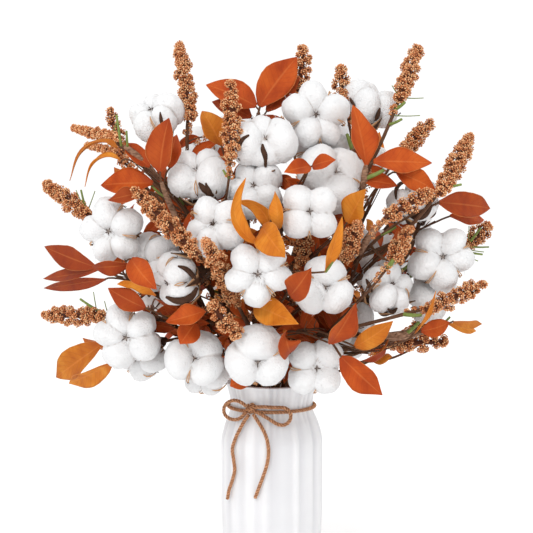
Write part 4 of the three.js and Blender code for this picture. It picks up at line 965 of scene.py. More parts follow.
back_leaves, back_spikes = 9, 6
for index in range(back_leaves):
    looks = {"width": 18 + 7 * chance(320 + index), "turn": 60 * (chance(300 + index) - 0.5), "bow": 5}
    back_leaf = back_head(index, back_leaves, 56, 41 + 5 * index, **looks)
    leaf_sprays["leaf_spray_back"]["heads"].append(back_leaf)
for index in range(back_spikes):
    back_spike = back_head(index, back_spikes, 66, 507 + 11 * index, slim=1.0)
    millet_sprays["millet_spray_back"]["heads"].append(back_spike)
print("back leaves", back_leaves, "back spikes", back_spikes)

# %% [markdown]
# ## Ways for the stalks and twigs
# Inside the bunch, about a hundred twigs run from the neck of the vase to the heads. Each one tries bows
# and bends, in a fixed order, until it clears what is already there. The fine stems could be drawn freely,
# but then they would leave their solids, so this is the same search.

# %% What is in the way
most_spots = 9000
spots = np.zeros((most_spots, 3))
spot_radii = np.zeros(most_spots)
spot_owners = np.zeros(most_spots, int)
owner_numbers = {}
spot_count = 0


def number_of(owner):
    return owner_numbers.setdefault(owner, len(owner_numbers))


def block(points, radius, owner):
    """Marks points as taken, and returns the rows that hold them"""
    global spot_count
    first, spot_count = spot_count, spot_count + len(points)
    spots[first:spot_count] = points
    spot_radii[first:spot_count] = radius
    spot_owners[first:spot_count] = number_of(owner)
    return spots[first:spot_count]


for boll in boll_frames.values():
    block([boll["centre"]], 0.88 * boll["radius"], boll["name"])
for name, row in millet_sprays.items():
    for head in row["heads"]:
        settle_spike(head)
        core = [between(*head["ends"], share) for share in (0.1, 0.3, 0.5, 0.7, 0.9)]
        head["core"] = block(core, 0.75 * spike_radius, name + " spikes")
print("spots taken by the heads", spot_count)

# %% Bends that a way may take
near_root, stalk_radius, spare_gap, farthest_bow = 16, 2.4, 0.3, 29
neck_top, collar_radius, vase_wall, wall_gap = neck_height + 8, 41.5, 4.5, 0.6


def sway_choices(chord):
    """Pairs of sideways pulls on a way's two controls: none, then bows, then bends"""
    _, up, right = frame_of(chord)
    ring = wheel(2 * math.pi * np.arange(8) / 8, up, right)
    bows = [(reach * way, reach * way) for reach in (7, 14, 23, 34) for way in ring]
    sways = [np.zeros(3), *(20 * ring)]
    return [(sways[0], sways[0]), *bows, *((first, second) for first in sways for second in sways)]


def along_bends(bends):
    """Points on the straight runs between bends, at most 3 mm apart"""
    parts = []
    for first, second in zip(bends[:-1], bends[1:]):
        count = math.ceil(np.linalg.norm(second - first) / 3)
        parts.append(first + (second - first) * (np.arange(1, count + 1) / count)[:, None])
    return np.vstack(parts)


def twig_bends(controls):
    length = evenly(bezier, controls, [0, 1], 40)[1]
    steps = min(5, max(2, math.floor(length / 28 + 0.5)))
    return evenly(bezier, controls, np.arange(steps + 1) / steps, 40)[0]


def petiole_bends(controls):
    return evenly(bezier, controls, [0, 0.5, 0.92, 1], 40)[0]


def distances(points, others):
    apart = (points**2).sum(1)[:, None] + (others**2).sum(1) - 2 * points @ others.T
    return np.sqrt(np.maximum(apart, 0))


print("bows and bends to try", len(sway_choices(np.array([0.0, 0, 1]))))


# %% The clearest way
def clear_way(start, rise, arrive, end, radius, owner, skip, bends_of):
    """The first bent curve that clears everything, or the one that comes nearest to it"""
    still = along_bends(bends_of((start, start + rise, end - arrive, end)))
    taken = slice(0, spot_count)
    own = spot_owners[taken] == number_of(owner)
    reach = spot_radii[taken] + radius + farthest_bow
    near = distances(still[::2], spots[taken]).min(axis=0) < reach
    near &= spot_owners[taken] != number_of(skip)
    near &= ~(own & (np.linalg.norm(spots[taken] - start, axis=1) < near_root))
    others, room = spots[taken][near], (spot_radii[taken] + radius + spare_gap)[near]
    own = own[near]
    best, best_gap = None, -math.inf
    for early, late in sway_choices(end - start):
        controls = (start, start + rise + early, end - arrive + late, end)
        points = along_bends(bends_of(controls))
        gaps = distances(points, others) - room
        gaps[(np.linalg.norm(points - start, axis=1) < near_root)[:, None] & own] = math.inf
        low = points[:, 2] <= rim_height + 4
        outside = np.where(points[:, 2] < neck_top, neck_radius, collar_radius)
        hollow = outside - vase_wall - radius - wall_gap
        wall = np.where(low, hollow - np.hypot(points[:, 0], points[:, 1]), math.inf)
        gap = min(gaps.min(initial=math.inf), wall.min())
        if gap > best_gap:
            best, best_gap = controls, gap
        if best_gap >= 0:
            break
    return best, best_gap


# %% Routing a spray
nudges = (0, -5, 5, -10, 10, -16, 16)


def clearest_of(head, tries):
    """The clearest of some ways to a head, which is nudged along y where none is clear"""
    best, best_gap, best_nudge, moved = None, -math.inf, 0, 0
    for nudge in nudges if head["moves"] else nudges[:1]:
        for point in head["moves"]:
            point[..., 1] += nudge - moved
        moved = nudge
        for attempt in tries if nudge == 0 else tries[:1]:
            controls, gap = attempt()
            if gap > best_gap:
                best, best_gap, best_nudge = controls, gap, nudge
            if best_gap >= 0:
                return tuple(point.copy() for point in best)
    for point in head["moves"]:
        point[..., 1] += best_nudge - moved
    return tuple(point.copy() for point in best)


def stalk_bends(outer, foot, neck):
    """Bends of a stalk from the vase's floor through its neck and along the outer curve"""
    upper = bezier(outer, [0.12, 0.25, 0.38, 0.52, 0.66, 0.8, 0.92, 1])
    points = np.vstack([foot, between(foot, neck, 0.5), neck, upper])
    return evenly(spline, points, np.arange(10) / 9, 200)[0]


def route(name, row, heads, radius, bends_of):
    """Bends of the stalk of a spray, and of each of its twigs"""
    angle = math.radians(row["angle"])
    outward = np.array([math.cos(angle), math.sin(angle), 0])
    ring = ring_radii[row["ring"]]
    foot = 0.8 * ring * outward + [0, 0, vase_floor + 0.3]
    neck = ring * outward + [0, 0, neck_top]
    leader, *others = heads

    def stalk_way():
        reach = np.linalg.norm(leader["end"] - neck)
        rise = outward * 0.06 * reach + [0, 0, 0.34 * reach]
        arrive = leader["along"] * 0.3 * reach
        bends = lambda controls: stalk_bends(controls, foot, neck)
        return clear_way(neck, rise, arrive, leader["end"], stalk_radius, name, leader["owner"], bends)

    outer = clearest_of(leader, [stalk_way])
    stalk = stalk_bends(outer, foot, neck)
    stalk_line = along_bends(stalk)
    block(stalk_line, stalk_radius, name)

    def twig_way(fork, head):
        near = bezier(outer, [fork])[0]
        start = stalk_line[np.argmin(np.linalg.norm(stalk_line - near, axis=1))]
        chord = head["end"] - start
        length = np.linalg.norm(chord)
        leave = between(bezier_direction(outer, fork), chord / length, 0.6) * 0.35 * length
        arrive = head["along"] * 0.35 * length
        return clear_way(start, leave, arrive, head["end"], radius, name, head["owner"], bends_of)

    twigs = []
    for index, head in enumerate(others):
        level = row["fork"] + 0.07 * (index - (len(others) - 1) / 2)
        forks = [min(0.88, max(0.12, level + shift)) for shift in (0, 0.1, -0.1, 0.2, -0.2)]
        controls = clearest_of(head, [lambda fork=fork: twig_way(fork, head) for fork in forks])
        bends = bends_of(controls)
        block(along_bends(bends), radius, name)
        twigs.append(bends)
    return stalk, twigs


# %% Routing them all
def boll_end(head, name):
    boll = boll_frames[head]
    return {"end": boll["seat"], "along": boll["front"], "owner": head, "moves": []}


def spike_end(head, name):
    base, tip = head["ends"]
    end = between(base, tip, 0.2)
    moves = [end, base, tip, head["core"]]
    return {"end": end, "along": unit(tip - base), "owner": name + " spikes", "moves": moves}


def leaf_end(head, name):
    settle_leaf(head)
    base, bend, tip = head["midline"]
    end = bowed(base, bend, tip, 0.03)
    return {"end": end, "along": unit(bend - base), "owner": name, "moves": [end, base, bend, tip]}


ways = {}
kinds = [(cotton_stems, boll_end, 1.5, twig_bends), (millet_sprays, spike_end, 1.1, twig_bends)]
kinds.append((leaf_sprays, leaf_end, 1.1, petiole_bends))
for sprays, end_of, twig_radius, bends_of in kinds:
    for name, row in sprays.items():
        heads = [end_of(head, name) for head in row["heads"]]
        ways[name] = route(name, row, heads, twig_radius, bends_of)
print("ways", sum(1 + len(twigs) for _, twigs in ways.values()), "spots", spot_count)

# %% [markdown]
# ## Finishes of the wood
# The stems are dry grey-brown bark, darker where they are old. Some are wound with paper tape, paler and
# ragged. Green stubs and the burrs of the bolls have finishes of their own. Bark could be one brown, but
# its streaks and dark flecks are what make a thin twig read as wood.

# %% Bark, tape, green wood and burr
bark = Finish("dry_bark", Roughness=0.85, Specular_IOR_Level=0.2)
flecks = bark.grain(420, 5, (1, 1, 0.25))
bark_color = bark.blend(flecks, tint(58, 36, 26), tint(132, 96, 70))
bark_color = bark.blend(bark.read("tone"), bark_color, tint(84, 54, 38))
bark.set(Base_Color=bark_color)
bark.bump(flecks, 0.6, 0.0006)

tape = Finish("paper_tape", Roughness=0.75, Specular_IOR_Level=0.25)
wraps = tape.grain(260, 4, (1, 1, 2.5))
tape.set(Base_Color=tape.blend(tape.spread(wraps, 0.35, 0.65), tint(98, 68, 50), tint(158, 122, 98)))
tape.bump(wraps, 0.6, 0.0008)

green = Finish("green_stub", Roughness=0.6, Specular_IOR_Level=0.3)
green_streaks = green.grain(300, 3)
green.set(Base_Color=green.blend(green_streaks, tint(66, 84, 34), tint(146, 160, 82)))
green.bump(green_streaks, 0.4, 0.0004)

burr_finish = Finish("dry_burr", Roughness=0.8, Specular_IOR_Level=0.2)
burr_streaks = burr_finish.grain(500, 4)
burr_color = burr_finish.blend(burr_streaks, tint(36, 24, 18), tint(88, 58, 40))
pale_edge = burr_finish.spread(burr_finish.read("across"), 0.45, 0.95)
burr_color = burr_finish.blend(pale_edge, burr_color, tint(196, 152, 112))
dark_tip = burr_finish.spread(burr_finish.read("along"), 0.8, 1.0)
burr_color = burr_finish.blend(dark_tip, burr_color, tint(48, 32, 24))
burr_finish.set(Base_Color=burr_color)
burr_finish.bump(burr_streaks, 0.5, 0.0005)
print("finishes of the wood", [finish.material.name for finish in (bark, tape, green, burr_finish)])

# %% [markdown]
# ## Leaves
# The leaves are dyed and dried: stiff pointed ovals, a little folded along the rib, with curled edges. Some
# show their golden undersides. A flat card with a picture would do in a game, but here each leaf is a thin
# closed plate with its own curl, and its veins are drawn from two numbers that each point carries.


# %% Leaf plates
def plate(centres, sideways, facing, reaches, thickness, lifts):
    """A thin closed plate, rows of points over and under its middle, and how far across and along each is"""
    rows = len(centres)
    across = np.linspace(-1, 1, lifts.shape[1])
    middle = centres[:, None] + sideways[:, None] * (reaches[:, None] * across)[..., None]
    middle = middle + facing[:, None] * lifts[..., None]
    thick = thickness / 2 * (1 - 0.7 * np.abs(across) ** 4)
    over = middle + facing[:, None] * thick[None, :, None]
    under = middle - facing[:, None] * thick[None, :, None]
    loop = np.concatenate([over, under[:, ::-1]], axis=1)
    wide = loop.shape[1]
    points, groups = closed_rings(loop, [loop[0].mean(axis=0)], [loop[-1].mean(axis=0)])
    both = np.tile(np.concatenate([across, across[::-1]]), rows)
    along = np.repeat(np.linspace(0, 1, rows), wide)
    return points, groups, np.append(both, [0, 0]), np.append(along, [0, 1])


leaf_shares = [0, 0.05, 0.15, 0.28, 0.42, 0.55, 0.7, 0.82, 0.92, 1]
leaf_outline = [0.1, 0.25, 0.6, 0.9, 1.04, 1.0, 0.8, 0.52, 0.25, 0.02]


def leaf_blade(shape, leaf, seed, rows=25, columns=9, mark=1):
    """A leaf with a rounded outline, cupped along its rib, with a slow twist and waving edges"""
    base, bend, tip = leaf["midline"]
    tone = leaf.get("gold", 0.05 + 0.25 * chance(seed + 3))
    golden = tone > 0.5
    share = np.linspace(0.02, 1, rows)
    t = share[:, None]
    centres = bowed(base, bend, tip, t)
    steps = (1 - t) * (bend - base) + t * (tip - bend)
    if "route" in leaf:
        depths = np.linspace(base[1], tip[1], len(leaf["route"]))
        centres = spline([seen(pixel, depth) for pixel, depth in zip(leaf["route"], depths)], share)
        steps = np.gradient(centres, axis=0)
    tangents = units(steps)
    facing = units(leaf["facing"] - tangents * (tangents @ leaf["facing"])[:, None])
    twist = math.radians((26 if golden else 12) * (2 * chance(seed + 4) - 1)) * (share - 0.35)
    facing = wheel(twist, facing, np.cross(facing, tangents))
    sideways = np.cross(facing, tangents)
    half = leaf.get("slender", 1) * leaf["width"] / 2
    outline = np.interp(share, leaf_shares, leaf_outline)
    reaches = half * outline * (1 + 0.04 * np.sin(share * 11 + 6 * chance(seed + 5)))
    across = np.linspace(-1, 1, columns)
    cup = (0.42 if golden else 0.3) + 0.22 * (chance(seed) - 0.4)
    wave = 0.13 * np.sin(share * 9 + 6 * chance(seed + 1))[:, None] * across**2 * np.sign(across)
    lifts = reaches[:, None] * (cup * np.abs(across) ** 1.3 + wave)
    lifts = lifts + (0.7 * chance(seed + 2) * np.sin(share * 5 + seed))[:, None]
    points, groups, across_now, along = plate(centres, sideways, facing, reaches, 0.6, lifts)
    under = np.tile(np.repeat([0, 1], columns), rows)
    golden_side = np.append(tone + under * (0.5 - 1.2 * max(0, tone - 0.5)), [tone, tone])
    shade = leaf.get("dark", 0.9 * chance(seed + 8))
    shape.add(points, groups, mark, golden_side, shade, along, across_now)


# %% The leaves' finish
leaf_finish = Finish("dyed_leaf", Roughness=0.6, Specular_IOR_Level=0.14)
along, across = leaf_finish.read("along"), leaf_finish.read("across")
aside = leaf_finish.node("ShaderNodeMath", {"operation": "ABSOLUTE"}, [across])
mottle = leaf_finish.grain(70, 4, (1, 1, 0.5))
ribs = leaf_finish.node("ShaderNodeMath", {"operation": "SINE"}, [along * 62 - aside * 11])
veins = leaf_finish.spread(ribs, 0.72, 1.0)
midrib = 1 - leaf_finish.spread(aside, 0.02, 0.09)
rusts = tint(150, 55, 16), tint(173, 71, 22), tint(188, 86, 30)
golds = tint(184, 100, 24), tint(202, 120, 34), tint(216, 142, 52)
mottle_stops = 0.3, 0.5, 0.7
rust_color, gold_color = (leaf_finish.ramp(mottle, *zip(mottle_stops, colors)) for colors in (rusts, golds))
golden = leaf_finish.spread(leaf_finish.read("tone"), 0.3, 0.75)
leaf_color = leaf_finish.blend(golden, rust_color, gold_color)
darker = leaf_finish.spread(leaf_finish.read("shade"), 0.5, 1.0)
leaf_color = leaf_finish.blend(0.6 * darker, leaf_color, tint(112, 40, 18))
leaf_color = leaf_finish.blend(0.16 * veins, leaf_color, tint(128, 44, 16))
leaf_color = leaf_finish.blend(0.16 * midrib, leaf_color, tint(236, 150, 84))
foot = 1 - leaf_finish.spread(along, 0.0, 0.3)
leaf_color = leaf_finish.blend(0.45 * foot, leaf_color, tint(140, 52, 22))
leaf_color = leaf_finish.blend(0.55 * leaf_finish.spread(aside, 0.94, 1.0), leaf_color, tint(226, 150, 92))
leaf_finish.set(Base_Color=leaf_color, Roughness=0.52 + 0.2 * mottle)
leaf_finish.bump(0.5 * veins + 0.8 * midrib + mottle, 0.25, 0.0005)
print("nodes in the leaves' finish", len(leaf_finish.tree.nodes))

# %% [markdown]
# ## Millet
# A millet spike is a core with whorls of small round seeds and notches between the whorls. The core, and a
# small core inside each lump, are coloured dark as painted shade, so the gaps between the seeds look shaded.
# Instancing one seed would be light to store, but every piece has to be one plain mesh, so each seed is added
# as a small eight-sided ball, and ten to thirty of them round one side of a middle make a lump. Every seed
# has its own tone, so the finish reads one number and needs no picture.

# %% Grains and lumps
ball = np.array([(1, 0, 0), (0, 1, 0), (-1, 0, 0), (0, -1, 0), (0, 0, 1), (0, 0, -1)], float)
ball_faces = np.vstack([fan(4, 0, 4, False), fan(5, 0, 4, True)])
golden_turn = 2.39996


def spike_reach(share):
    """A spike's radius, slender at the foot and at the tip"""
    return spike_radius * np.interp(share, [0, 0.1, 0.36, 0.63, 0.88, 1], [0.5, 0.8, 1, 0.96, 0.74, 0.4])


def floret(lumps, middle, lean, size, seed, grains=22):
    """A lump of small grains round the outer side of a middle, set by the turn of a sunflower"""
    _, up, right = frame_of(lean)
    number = np.arange(grains)
    slope = 1 - 1.4 * (number + 0.5) / grains
    aside = np.sqrt(1 - slope**2)[:, None]
    stray = np.array([chance(seed + 0.31 * step) for step in range(2 * grains)])
    reach = size * (0.86 + 0.3 * stray[:grains])
    aims = slope[:, None] * lean + aside * wheel(golden_turn * number + seed, up, right)
    lumps.append((middle + aims * reach[:, None], 0.72 + 0.26 * stray[grains:], stray[::2]))


def grains_of(shape, lumps, mark):
    """Adds the grains of some lumps, each a small ball"""
    middles, sizes, tones = (np.concatenate(parts) for parts in zip(*lumps))
    points = middles[:, None] + ball * sizes[:, None, None]
    faces = (ball_faces[None] + 6 * np.arange(len(middles))[:, None, None]).reshape(-1, 3)
    shape.add(points.reshape(-1, 3), [faces], mark=mark, tone=np.repeat(tones, 6))


# %% Seeds in whorls
seen_grains, back_grains, tip_grains, loose_grains = 20, 10, 30, 14
whorl_step, slim_whorl_step, core_rings = 7.3, 5.6, 14


def seeds(shape, spike, bends, seed):
    """The core of a spike, its whorls of lumps, and loose lumps down its twig"""
    base, tip = spike["ends"]
    slim = spike["slim"]
    along = unit(tip - base)
    length = np.linalg.norm(tip - base)
    _, up, right = frame_of(along)
    shares = np.linspace(0, 0.97, core_rings)
    rough = np.array([0.22 + 0.1 * chance(seed + 40 + step) for step in range(core_rings)])
    core_path = between(base, tip, shares[:, None])
    # The core is coloured dark with painted shade, so the gaps between the seeds look shaded.
    tube(shape, core_path, slim * spike_reach(shares) * rough, 8, mark=1, shade=1.0)
    whorls = max(5, round(length / (whorl_step if slim == 1 else slim_whorl_step)))
    grains = seen_grains if "tip" in spike else back_grains
    lumps = []
    for whorl in range(whorls):
        share = (whorl + 0.5 + 0.4 * (chance(seed + whorl) - 0.5)) / whorls
        count = 5 if whorl < whorls - 2 else 4
        for lump in range(count):
            number = seed + 31 * whorl + 7.7 * lump
            angle = 2 * math.pi * (lump + 0.5 * (whorl % 2) + 0.5 * (chance(number) - 0.5)) / count
            reach = slim * spike_reach(share) * (0.84 + 0.44 * chance(number + 0.5))
            outward = wheel(angle, up, right)
            lean = unit(outward + along * (0.1 + 0.6 * chance(number + 0.1)))
            size = (2.4 + 0.9 * chance(number + 0.2)) * (0.5 + 0.5 * slim)
            rise = length * share + 3.4 * (chance(number + 0.9) - 0.5)
            middle = base + along * rise + outward * max(0.8, reach - size - 0.5)
            # A small core inside each lump, coloured dark with painted shade to darken the gaps between its
            # grains.
            painted_shade_core = middle + lean * np.array([-1.3, -0.3, 1.2])[:, None]
            tube(shape, painted_shade_core, (0.6 * size, 0.6 * size), 6, mark=1, shade=0.8)
            floret(lumps, middle, lean, size, number, grains)
    floret(lumps, tip - along * 1.4, along, 2.4, seed + 5, tip_grains)
    for step, place_now in enumerate(smooth(bends, 5.0)[::-1][:6]):
        for lump in range(2):
            number = seed + 900 + 3.3 * step + lump
            outward = wheel(2 * math.pi * chance(number), up, right)
            middle = place_now + outward * (1.6 + 1.4 * chance(number + 0.4))
            floret(lumps, middle, unit(outward + 0.5 * along), 2.0, number, loose_grains)
    grains_of(shape, lumps, 1)


# %% The millet's finish
seed_finish = Finish("millet_seed", Roughness=0.6, Specular_IOR_Level=0.2)
seed_noise = seed_finish.grain(500, 3)
tans = tint(180, 102, 58), tint(226, 152, 98), tint(250, 208, 158)
seed_color = seed_finish.ramp(seed_finish.read("tone"), *zip((0.0, 0.5, 1.0), tans))
seed_color = seed_finish.blend(0.2 * seed_noise, seed_color, tint(150, 78, 38))
# Painted shade: the cores of the spike and of its lumps are coloured dark.
seed_color = seed_finish.blend(seed_finish.read("shade"), seed_color, tint(84, 42, 24))
seed_finish.set(Base_Color=seed_color)
seed_finish.bump(seed_noise, 0.4, 0.0005)
print("nodes in the millet's finish", len(seed_finish.tree.nodes))

# %% The finishes of a stem, by the marks of its faces
tape_mark, green_mark, leaf_mark, seed_mark = 2, 3, 4, 5


def wood_finishes(second):
    """Bark first, then the finish of what a stem carries, then tape, green wood, leaf and seed"""
    return [finish.material for finish in (bark, second, tape, green, leaf_finish, seed_finish)]


# %% [markdown]
# ## Stems and burrs
# A cotton stem is a stalk with a few twigs, and each twig ends in the burr that its boll sits in: a small
# cup with a stiff claw behind each groove of the lint. The claws could be modelled once and copied, but
# their number and reach change with the boll, so they are built from its own frame.


# %% Twigs and claws
def twig(shape, bends, thick, thin, seed, tone, sides=7):
    """A tapering twig with rough bark"""
    path = smooth(bends, 3.5)
    rings, around = range(len(path)), range(sides)
    rough = np.array([[noise.noise(Vector((seed, ring * 0.7, side))) for side in around] for ring in rings])
    radii = np.linspace(thick, thin, len(path))[:, None] * (1 + 0.16 * rough)
    tube(shape, path, radii, sides, tone=tone)


def claw(shape, outward, front, waypoints, half_width):
    """A stiff pointed plate from the burr out to a groove, hollow towards the lint"""
    path = smooth(np.array(waypoints), 2.6)
    sideways = np.tile(np.cross(outward, front), (len(path), 1))
    facing = np.cross(units(np.gradient(path, axis=0)), sideways)
    share = np.linspace(0, 1, len(path))
    swell = 0.45 + 0.75 * np.sin(math.pi * np.clip(share * 0.92 + 0.06, 0, 1))
    reaches = half_width * swell * (1.02 - share**3)
    lifts = -0.3 * reaches[:, None] * np.linspace(-1, 1, 5) ** 2
    lifts = lifts if facing[0] @ front < 0 else -lifts
    points, groups, across, along = plate(path, sideways, facing, reaches, 1.1, lifts)
    shape.add(points, groups, 1, 0.0, 0.0, along, np.abs(across))


cup_levels = [(4.6, 3.2), (5.2, 0.5), (4.4, -2.5), (2.6, -5.2), (1.6, -7.0)]
# Where a claw bends and ends, outward and forward in shares of the boll's radius, and its half width
open_claw = ((0.7, -0.46), (0.9754, 0.1112), 4.6)
closed_claw = ((0.64, -0.4), (0.72, -0.2), 1.7)


def burr(shape, boll):
    """A small cup under a boll, with a claw behind each groove"""
    front, seat, radius = boll["front"], boll["seat"], boll["radius"]
    angles = 2 * math.pi * np.arange(15) / 15
    ring = wheel(angles, boll["up"], boll["right"])
    swell = (1 + 0.1 * np.cos(5 * (angles - boll["spin"])))[:, None]
    rows = np.array([seat + ring * reach * swell + front * lift for reach, lift in cup_levels])
    shape.add(*closed_rings(rows, [seat + front * 3.6], [seat - front * 7.6]), mark=1)
    *corners, half_width = open_claw if boll["bracts"] else closed_claw
    for lobe in range(boll["lobes"]):
        outward = wheel(boll["spin"] + math.pi * (2 * lobe - 1) / boll["lobes"], boll["up"], boll["right"])
        bend, tip = (boll["centre"] + (outward * reach + front * lift) * radius for reach, lift in corners)
        claw(shape, outward, front, [seat, bend, bend, tip], half_width)


# %% [markdown]
# ## What grows on the stems
# The bunch has more on its stems than heads: thin bare twigs that wind along with the thick ones, paper
# tape wound thick where a spray is joined, and cut green stubs and needles. They could be scattered freely,
# but then some would hang in the air, so each one starts on the stem that passes nearest to where the
# picture shows it.

# %% Stubs, needles and windings, by pixels of the front view
green_stubs = [
    ((116.5, 115), (122, 141), 1.2), ((126.5, 131), (129, 143), 1.2), ((81, 190), (91, 207), 1.1),
    ((150, 184), (172, 203), 1.3), ((174, 190), (182, 205), 1.5), ((80, 299), (105, 316), 1.3),
    ((384, 170), (367, 178), 2.0), ((223, 170), (229, 177), 1.2), ((213, 196), (211, 206), 1.6),
    ((334, 259), (331, 267), 1.3), ((342, 262), (338, 271), 1.3), ((309, 323), (295, 341), 1.5),
    ((393.5, 259.5), (387, 268), 2.2), ((206, 287), (218, 295), 1.3), ((405, 102), (399, 112), 1.6),
    ((402, 119), (396, 128), 1.4), ((347, 134), (346, 150), 1.9), ((461.5, 184.5), (449, 193), 1.3),
    ((480.5, 228), (466, 245), 1.4), ((489, 247), (470, 251), 0.9), ((482.5, 254.5), (471, 259.5), 1.1),
    ((396, 227), (379, 233), 1.3), ((409, 264.5), (398, 270), 1.5), ((415, 275), (406, 279), 1.5),
    ((421.5, 315), (406, 321), 1.8), ((419, 322), (404, 328), 1.8), ((450, 317), (438, 319), 1.2),
    ((305, 331), (297, 343), 1.3), ((352, 266), (340, 278), 0.8), ((349, 268), (338, 281), 0.7),
]
needles = [
    ((95, 191), (92.5, 203)), ((93.5, 292), (97, 308)), ((104.5, 301), (107, 313)), ((392, 85.5), (399, 98)),
    ((423.5, 98), (408, 100)), ((420, 115.5), (402, 118)), ((469, 226), (464, 240)), ((484, 252), (470, 254)),
    ((478, 261), (469, 262)), ((76, 190), (90, 205)), ((118, 118), (112, 137)),
]
windings = [
    ((122, 144), (160, 180), 3.6), ((141, 212), (183, 253), 2.9), ((150, 184), (193, 228), 2.6),
    ((386, 213), (353, 262), 3.2), ((372, 164), (358, 187), 3.2), ((426, 313), (372, 340), 4.2),
    ((347, 137), (356, 166), 2.6),
]


# %% The stem nearest to a pixel
def pixels_of(points):
    """Where places are seen in the picture"""
    x, y, z = (np.atleast_2d(points) - look_at).T
    spread = 1 + (y * math.cos(picture_tilt) - z * math.sin(picture_tilt)) / picture_distance
    up = (z * math.cos(picture_tilt) + y * math.sin(picture_tilt)) / spread
    return picture_middle + np.column_stack([x / spread, -up]) / picture_scale


way_lines = [(name, smooth(bends, 3.0)) for name, (stalk, twigs) in ways.items() for bends in [stalk, *twigs]]
way_pixels = [pixels_of(line) for _, line in way_lines]
growths = {name: [] for name in ways}
farthest_pixel, needle_radius, bare_radius = 15, 0.5, 1.4


def nearest_way(pixel):
    """The stem that passes nearest under a pixel, the front one where several do: its name, line and point"""
    best, found = math.inf, None
    for (name, line), pixels in zip(way_lines, way_pixels):
        aside = np.hypot(*(pixels - pixel).T)
        cost = aside + 0.03 * line[:, 1]
        cost[line[:, 2] < rim_height + 6] = math.inf
        index = int(np.argmin(cost))
        if aside[index] < farthest_pixel and cost[index] < best:
            best, found = cost[index], (name, line, index)
    return found


for tip_pixel, root_pixel, radius in [*green_stubs, *((*pixels, needle_radius) for pixels in needles)]:
    found = nearest_way(root_pixel)
    if found:
        name, line, index = found
        root = line[index]
        tip = seen(tip_pixel, root[1] - 4)
        middle = between(root, tip, 0.55) + [0, -1.0, -0.6]
        growths[name].append((eased(np.array([root, middle, tip])), (radius, 0.8 * radius), green_mark))
for first_pixel, last_pixel, radius in windings:
    found = nearest_way(between(np.array(first_pixel), np.array(last_pixel), 0.5))
    if found:
        name, line, index = found
        reach = int(np.hypot(*np.subtract(first_pixel, last_pixel)) * picture_scale / 6)
        part = line[max(0, index - reach) : index + reach]
        arch = np.sin(np.linspace(0.1, math.pi - 0.1, len(part))) ** 0.8
        growths[name].append((part, bare_radius + (radius - bare_radius) * arch, tape_mark))
print("stubs and windings", sum(len(grown) for grown in growths.values()))


# %% Dressing the stems of a spray
def dress(shape, name, order):
    """What grows on the stems of a spray: windings, stubs, and thin twigs that wind along"""
    for path, radii, mark in growths[name]:
        tube(shape, path, radii, 7, mark=mark)
    stalk, twigs = ways[name]
    for index, bends in enumerate([stalk, stalk, *twigs]):
        seed = 31 * order + 7 * index
        line = smooth(bends, 6.0)
        line = line[: max(4, int(len(line) * (0.6 + 0.35 * chance(seed))))]
        _, side, up = carried_frames(line)
        share = np.linspace(0, 1, len(line))
        turn = 2 * math.pi * chance(seed + 1) + share * (3 + 4 * chance(seed + 2))
        free = np.clip((line[:, 2] - rim_height) / 40, 0, 1) * (1.6 + 1.6 * chance(seed + 3))
        line = line + wheel(turn, side, up) * free[:, None]
        tube(shape, line, (1.0, 0.5), 4, tone=chance(seed + 4))
        root = line[int(0.75 * len(line))]
        if root[2] > rim_height + 20:
            aim = unit(unit(root * [1, 1.4, 0]) + [0, 0, 0.6 + chance(seed + 5)])
            bend = root + aim * 4 + up[-1] * 1.5
            tip = root + aim * (7 + 6 * chance(seed + 6))
            tube(shape, eased(np.array([root, bend, tip])), (0.6, 0.35), 5, tone=0.2)


# %% [markdown]
# ## Small growth between the heads
# The middle of the real bunch is dense: small dry leaves and strings of seed fill the gaps between its
# heads. A dark core would close the gaps too, but from the side it would look like a lump, so each stem
# tries a few seeded places round it, and grows only where there is room.

# %% Small leaves and strings of seed inside the bunch
inner_step, inner_tries, string_share, string_lumps = 16.0, 5, 0.22, 5


def is_free(points):
    """True where points lie outside every boll and well inside the crown"""
    apart = np.linalg.norm(points[:, None] - round_centres, axis=2) - round_radii
    deep = ((points - [0, 0, crown_centre]) / [crown_half_width, crown_half_depth, crown_half_height]) ** 2
    return apart.min() > 0.5 and deep.sum(axis=1).max() < 0.62 and points[:, 2].min() > rim_height + 4


def inner_growth(shape, name, order):
    """Small dry leaves and strings of seed that fill the gaps between the heads, each on a stem"""
    stalk, twigs = ways[name]
    lumps = []
    for index, bends in enumerate([stalk, *twigs]):
        for step, root in enumerate(smooth(bends, inner_step)[1:-1]):
            for attempt in range(inner_tries):
                seed = 211 * order + 37 * index + 5.3 * step + 0.77 * attempt
                turn = 2 * math.pi * chance(seed)
                aim = unit(np.array([math.cos(turn), 0.8 * math.sin(turn) - 0.3, 0.9 * chance(seed + 0.2)]))
                length = 20 + 14 * chance(seed + 0.4)
                tip = root + aim * length
                bend = root + aim * 0.5 * length + np.array([0, 0, 3.0])
                if not is_free(np.array([bend, tip])):
                    continue
                if chance(seed + 0.9) < string_share:
                    tube(shape, eased(np.array([root, bend, tip])), (0.7, 0.5), 4, tone=0.5)
                    for number in range(string_lumps):
                        stray = 1.5 * np.array([math.cos(4 * number), 0, math.sin(4 * number)])
                        floret(lumps, root + aim * (6 + 4.4 * number) + stray, aim, 2.3, seed + number, 11)
                else:
                    front = unit(outward_from(bend) + [0.8 * (chance(seed + 0.6) - 0.5), 0, 0])
                    width = 9 + 5 * chance(seed + 0.8)
                    small_leaf = {"midline": (root, bend, tip), "facing": front, "width": width}
                    leaf_blade(shape, small_leaf, seed, 9, 5, leaf_mark)
                break
    if lumps:
        grains_of(shape, lumps, seed_mark)


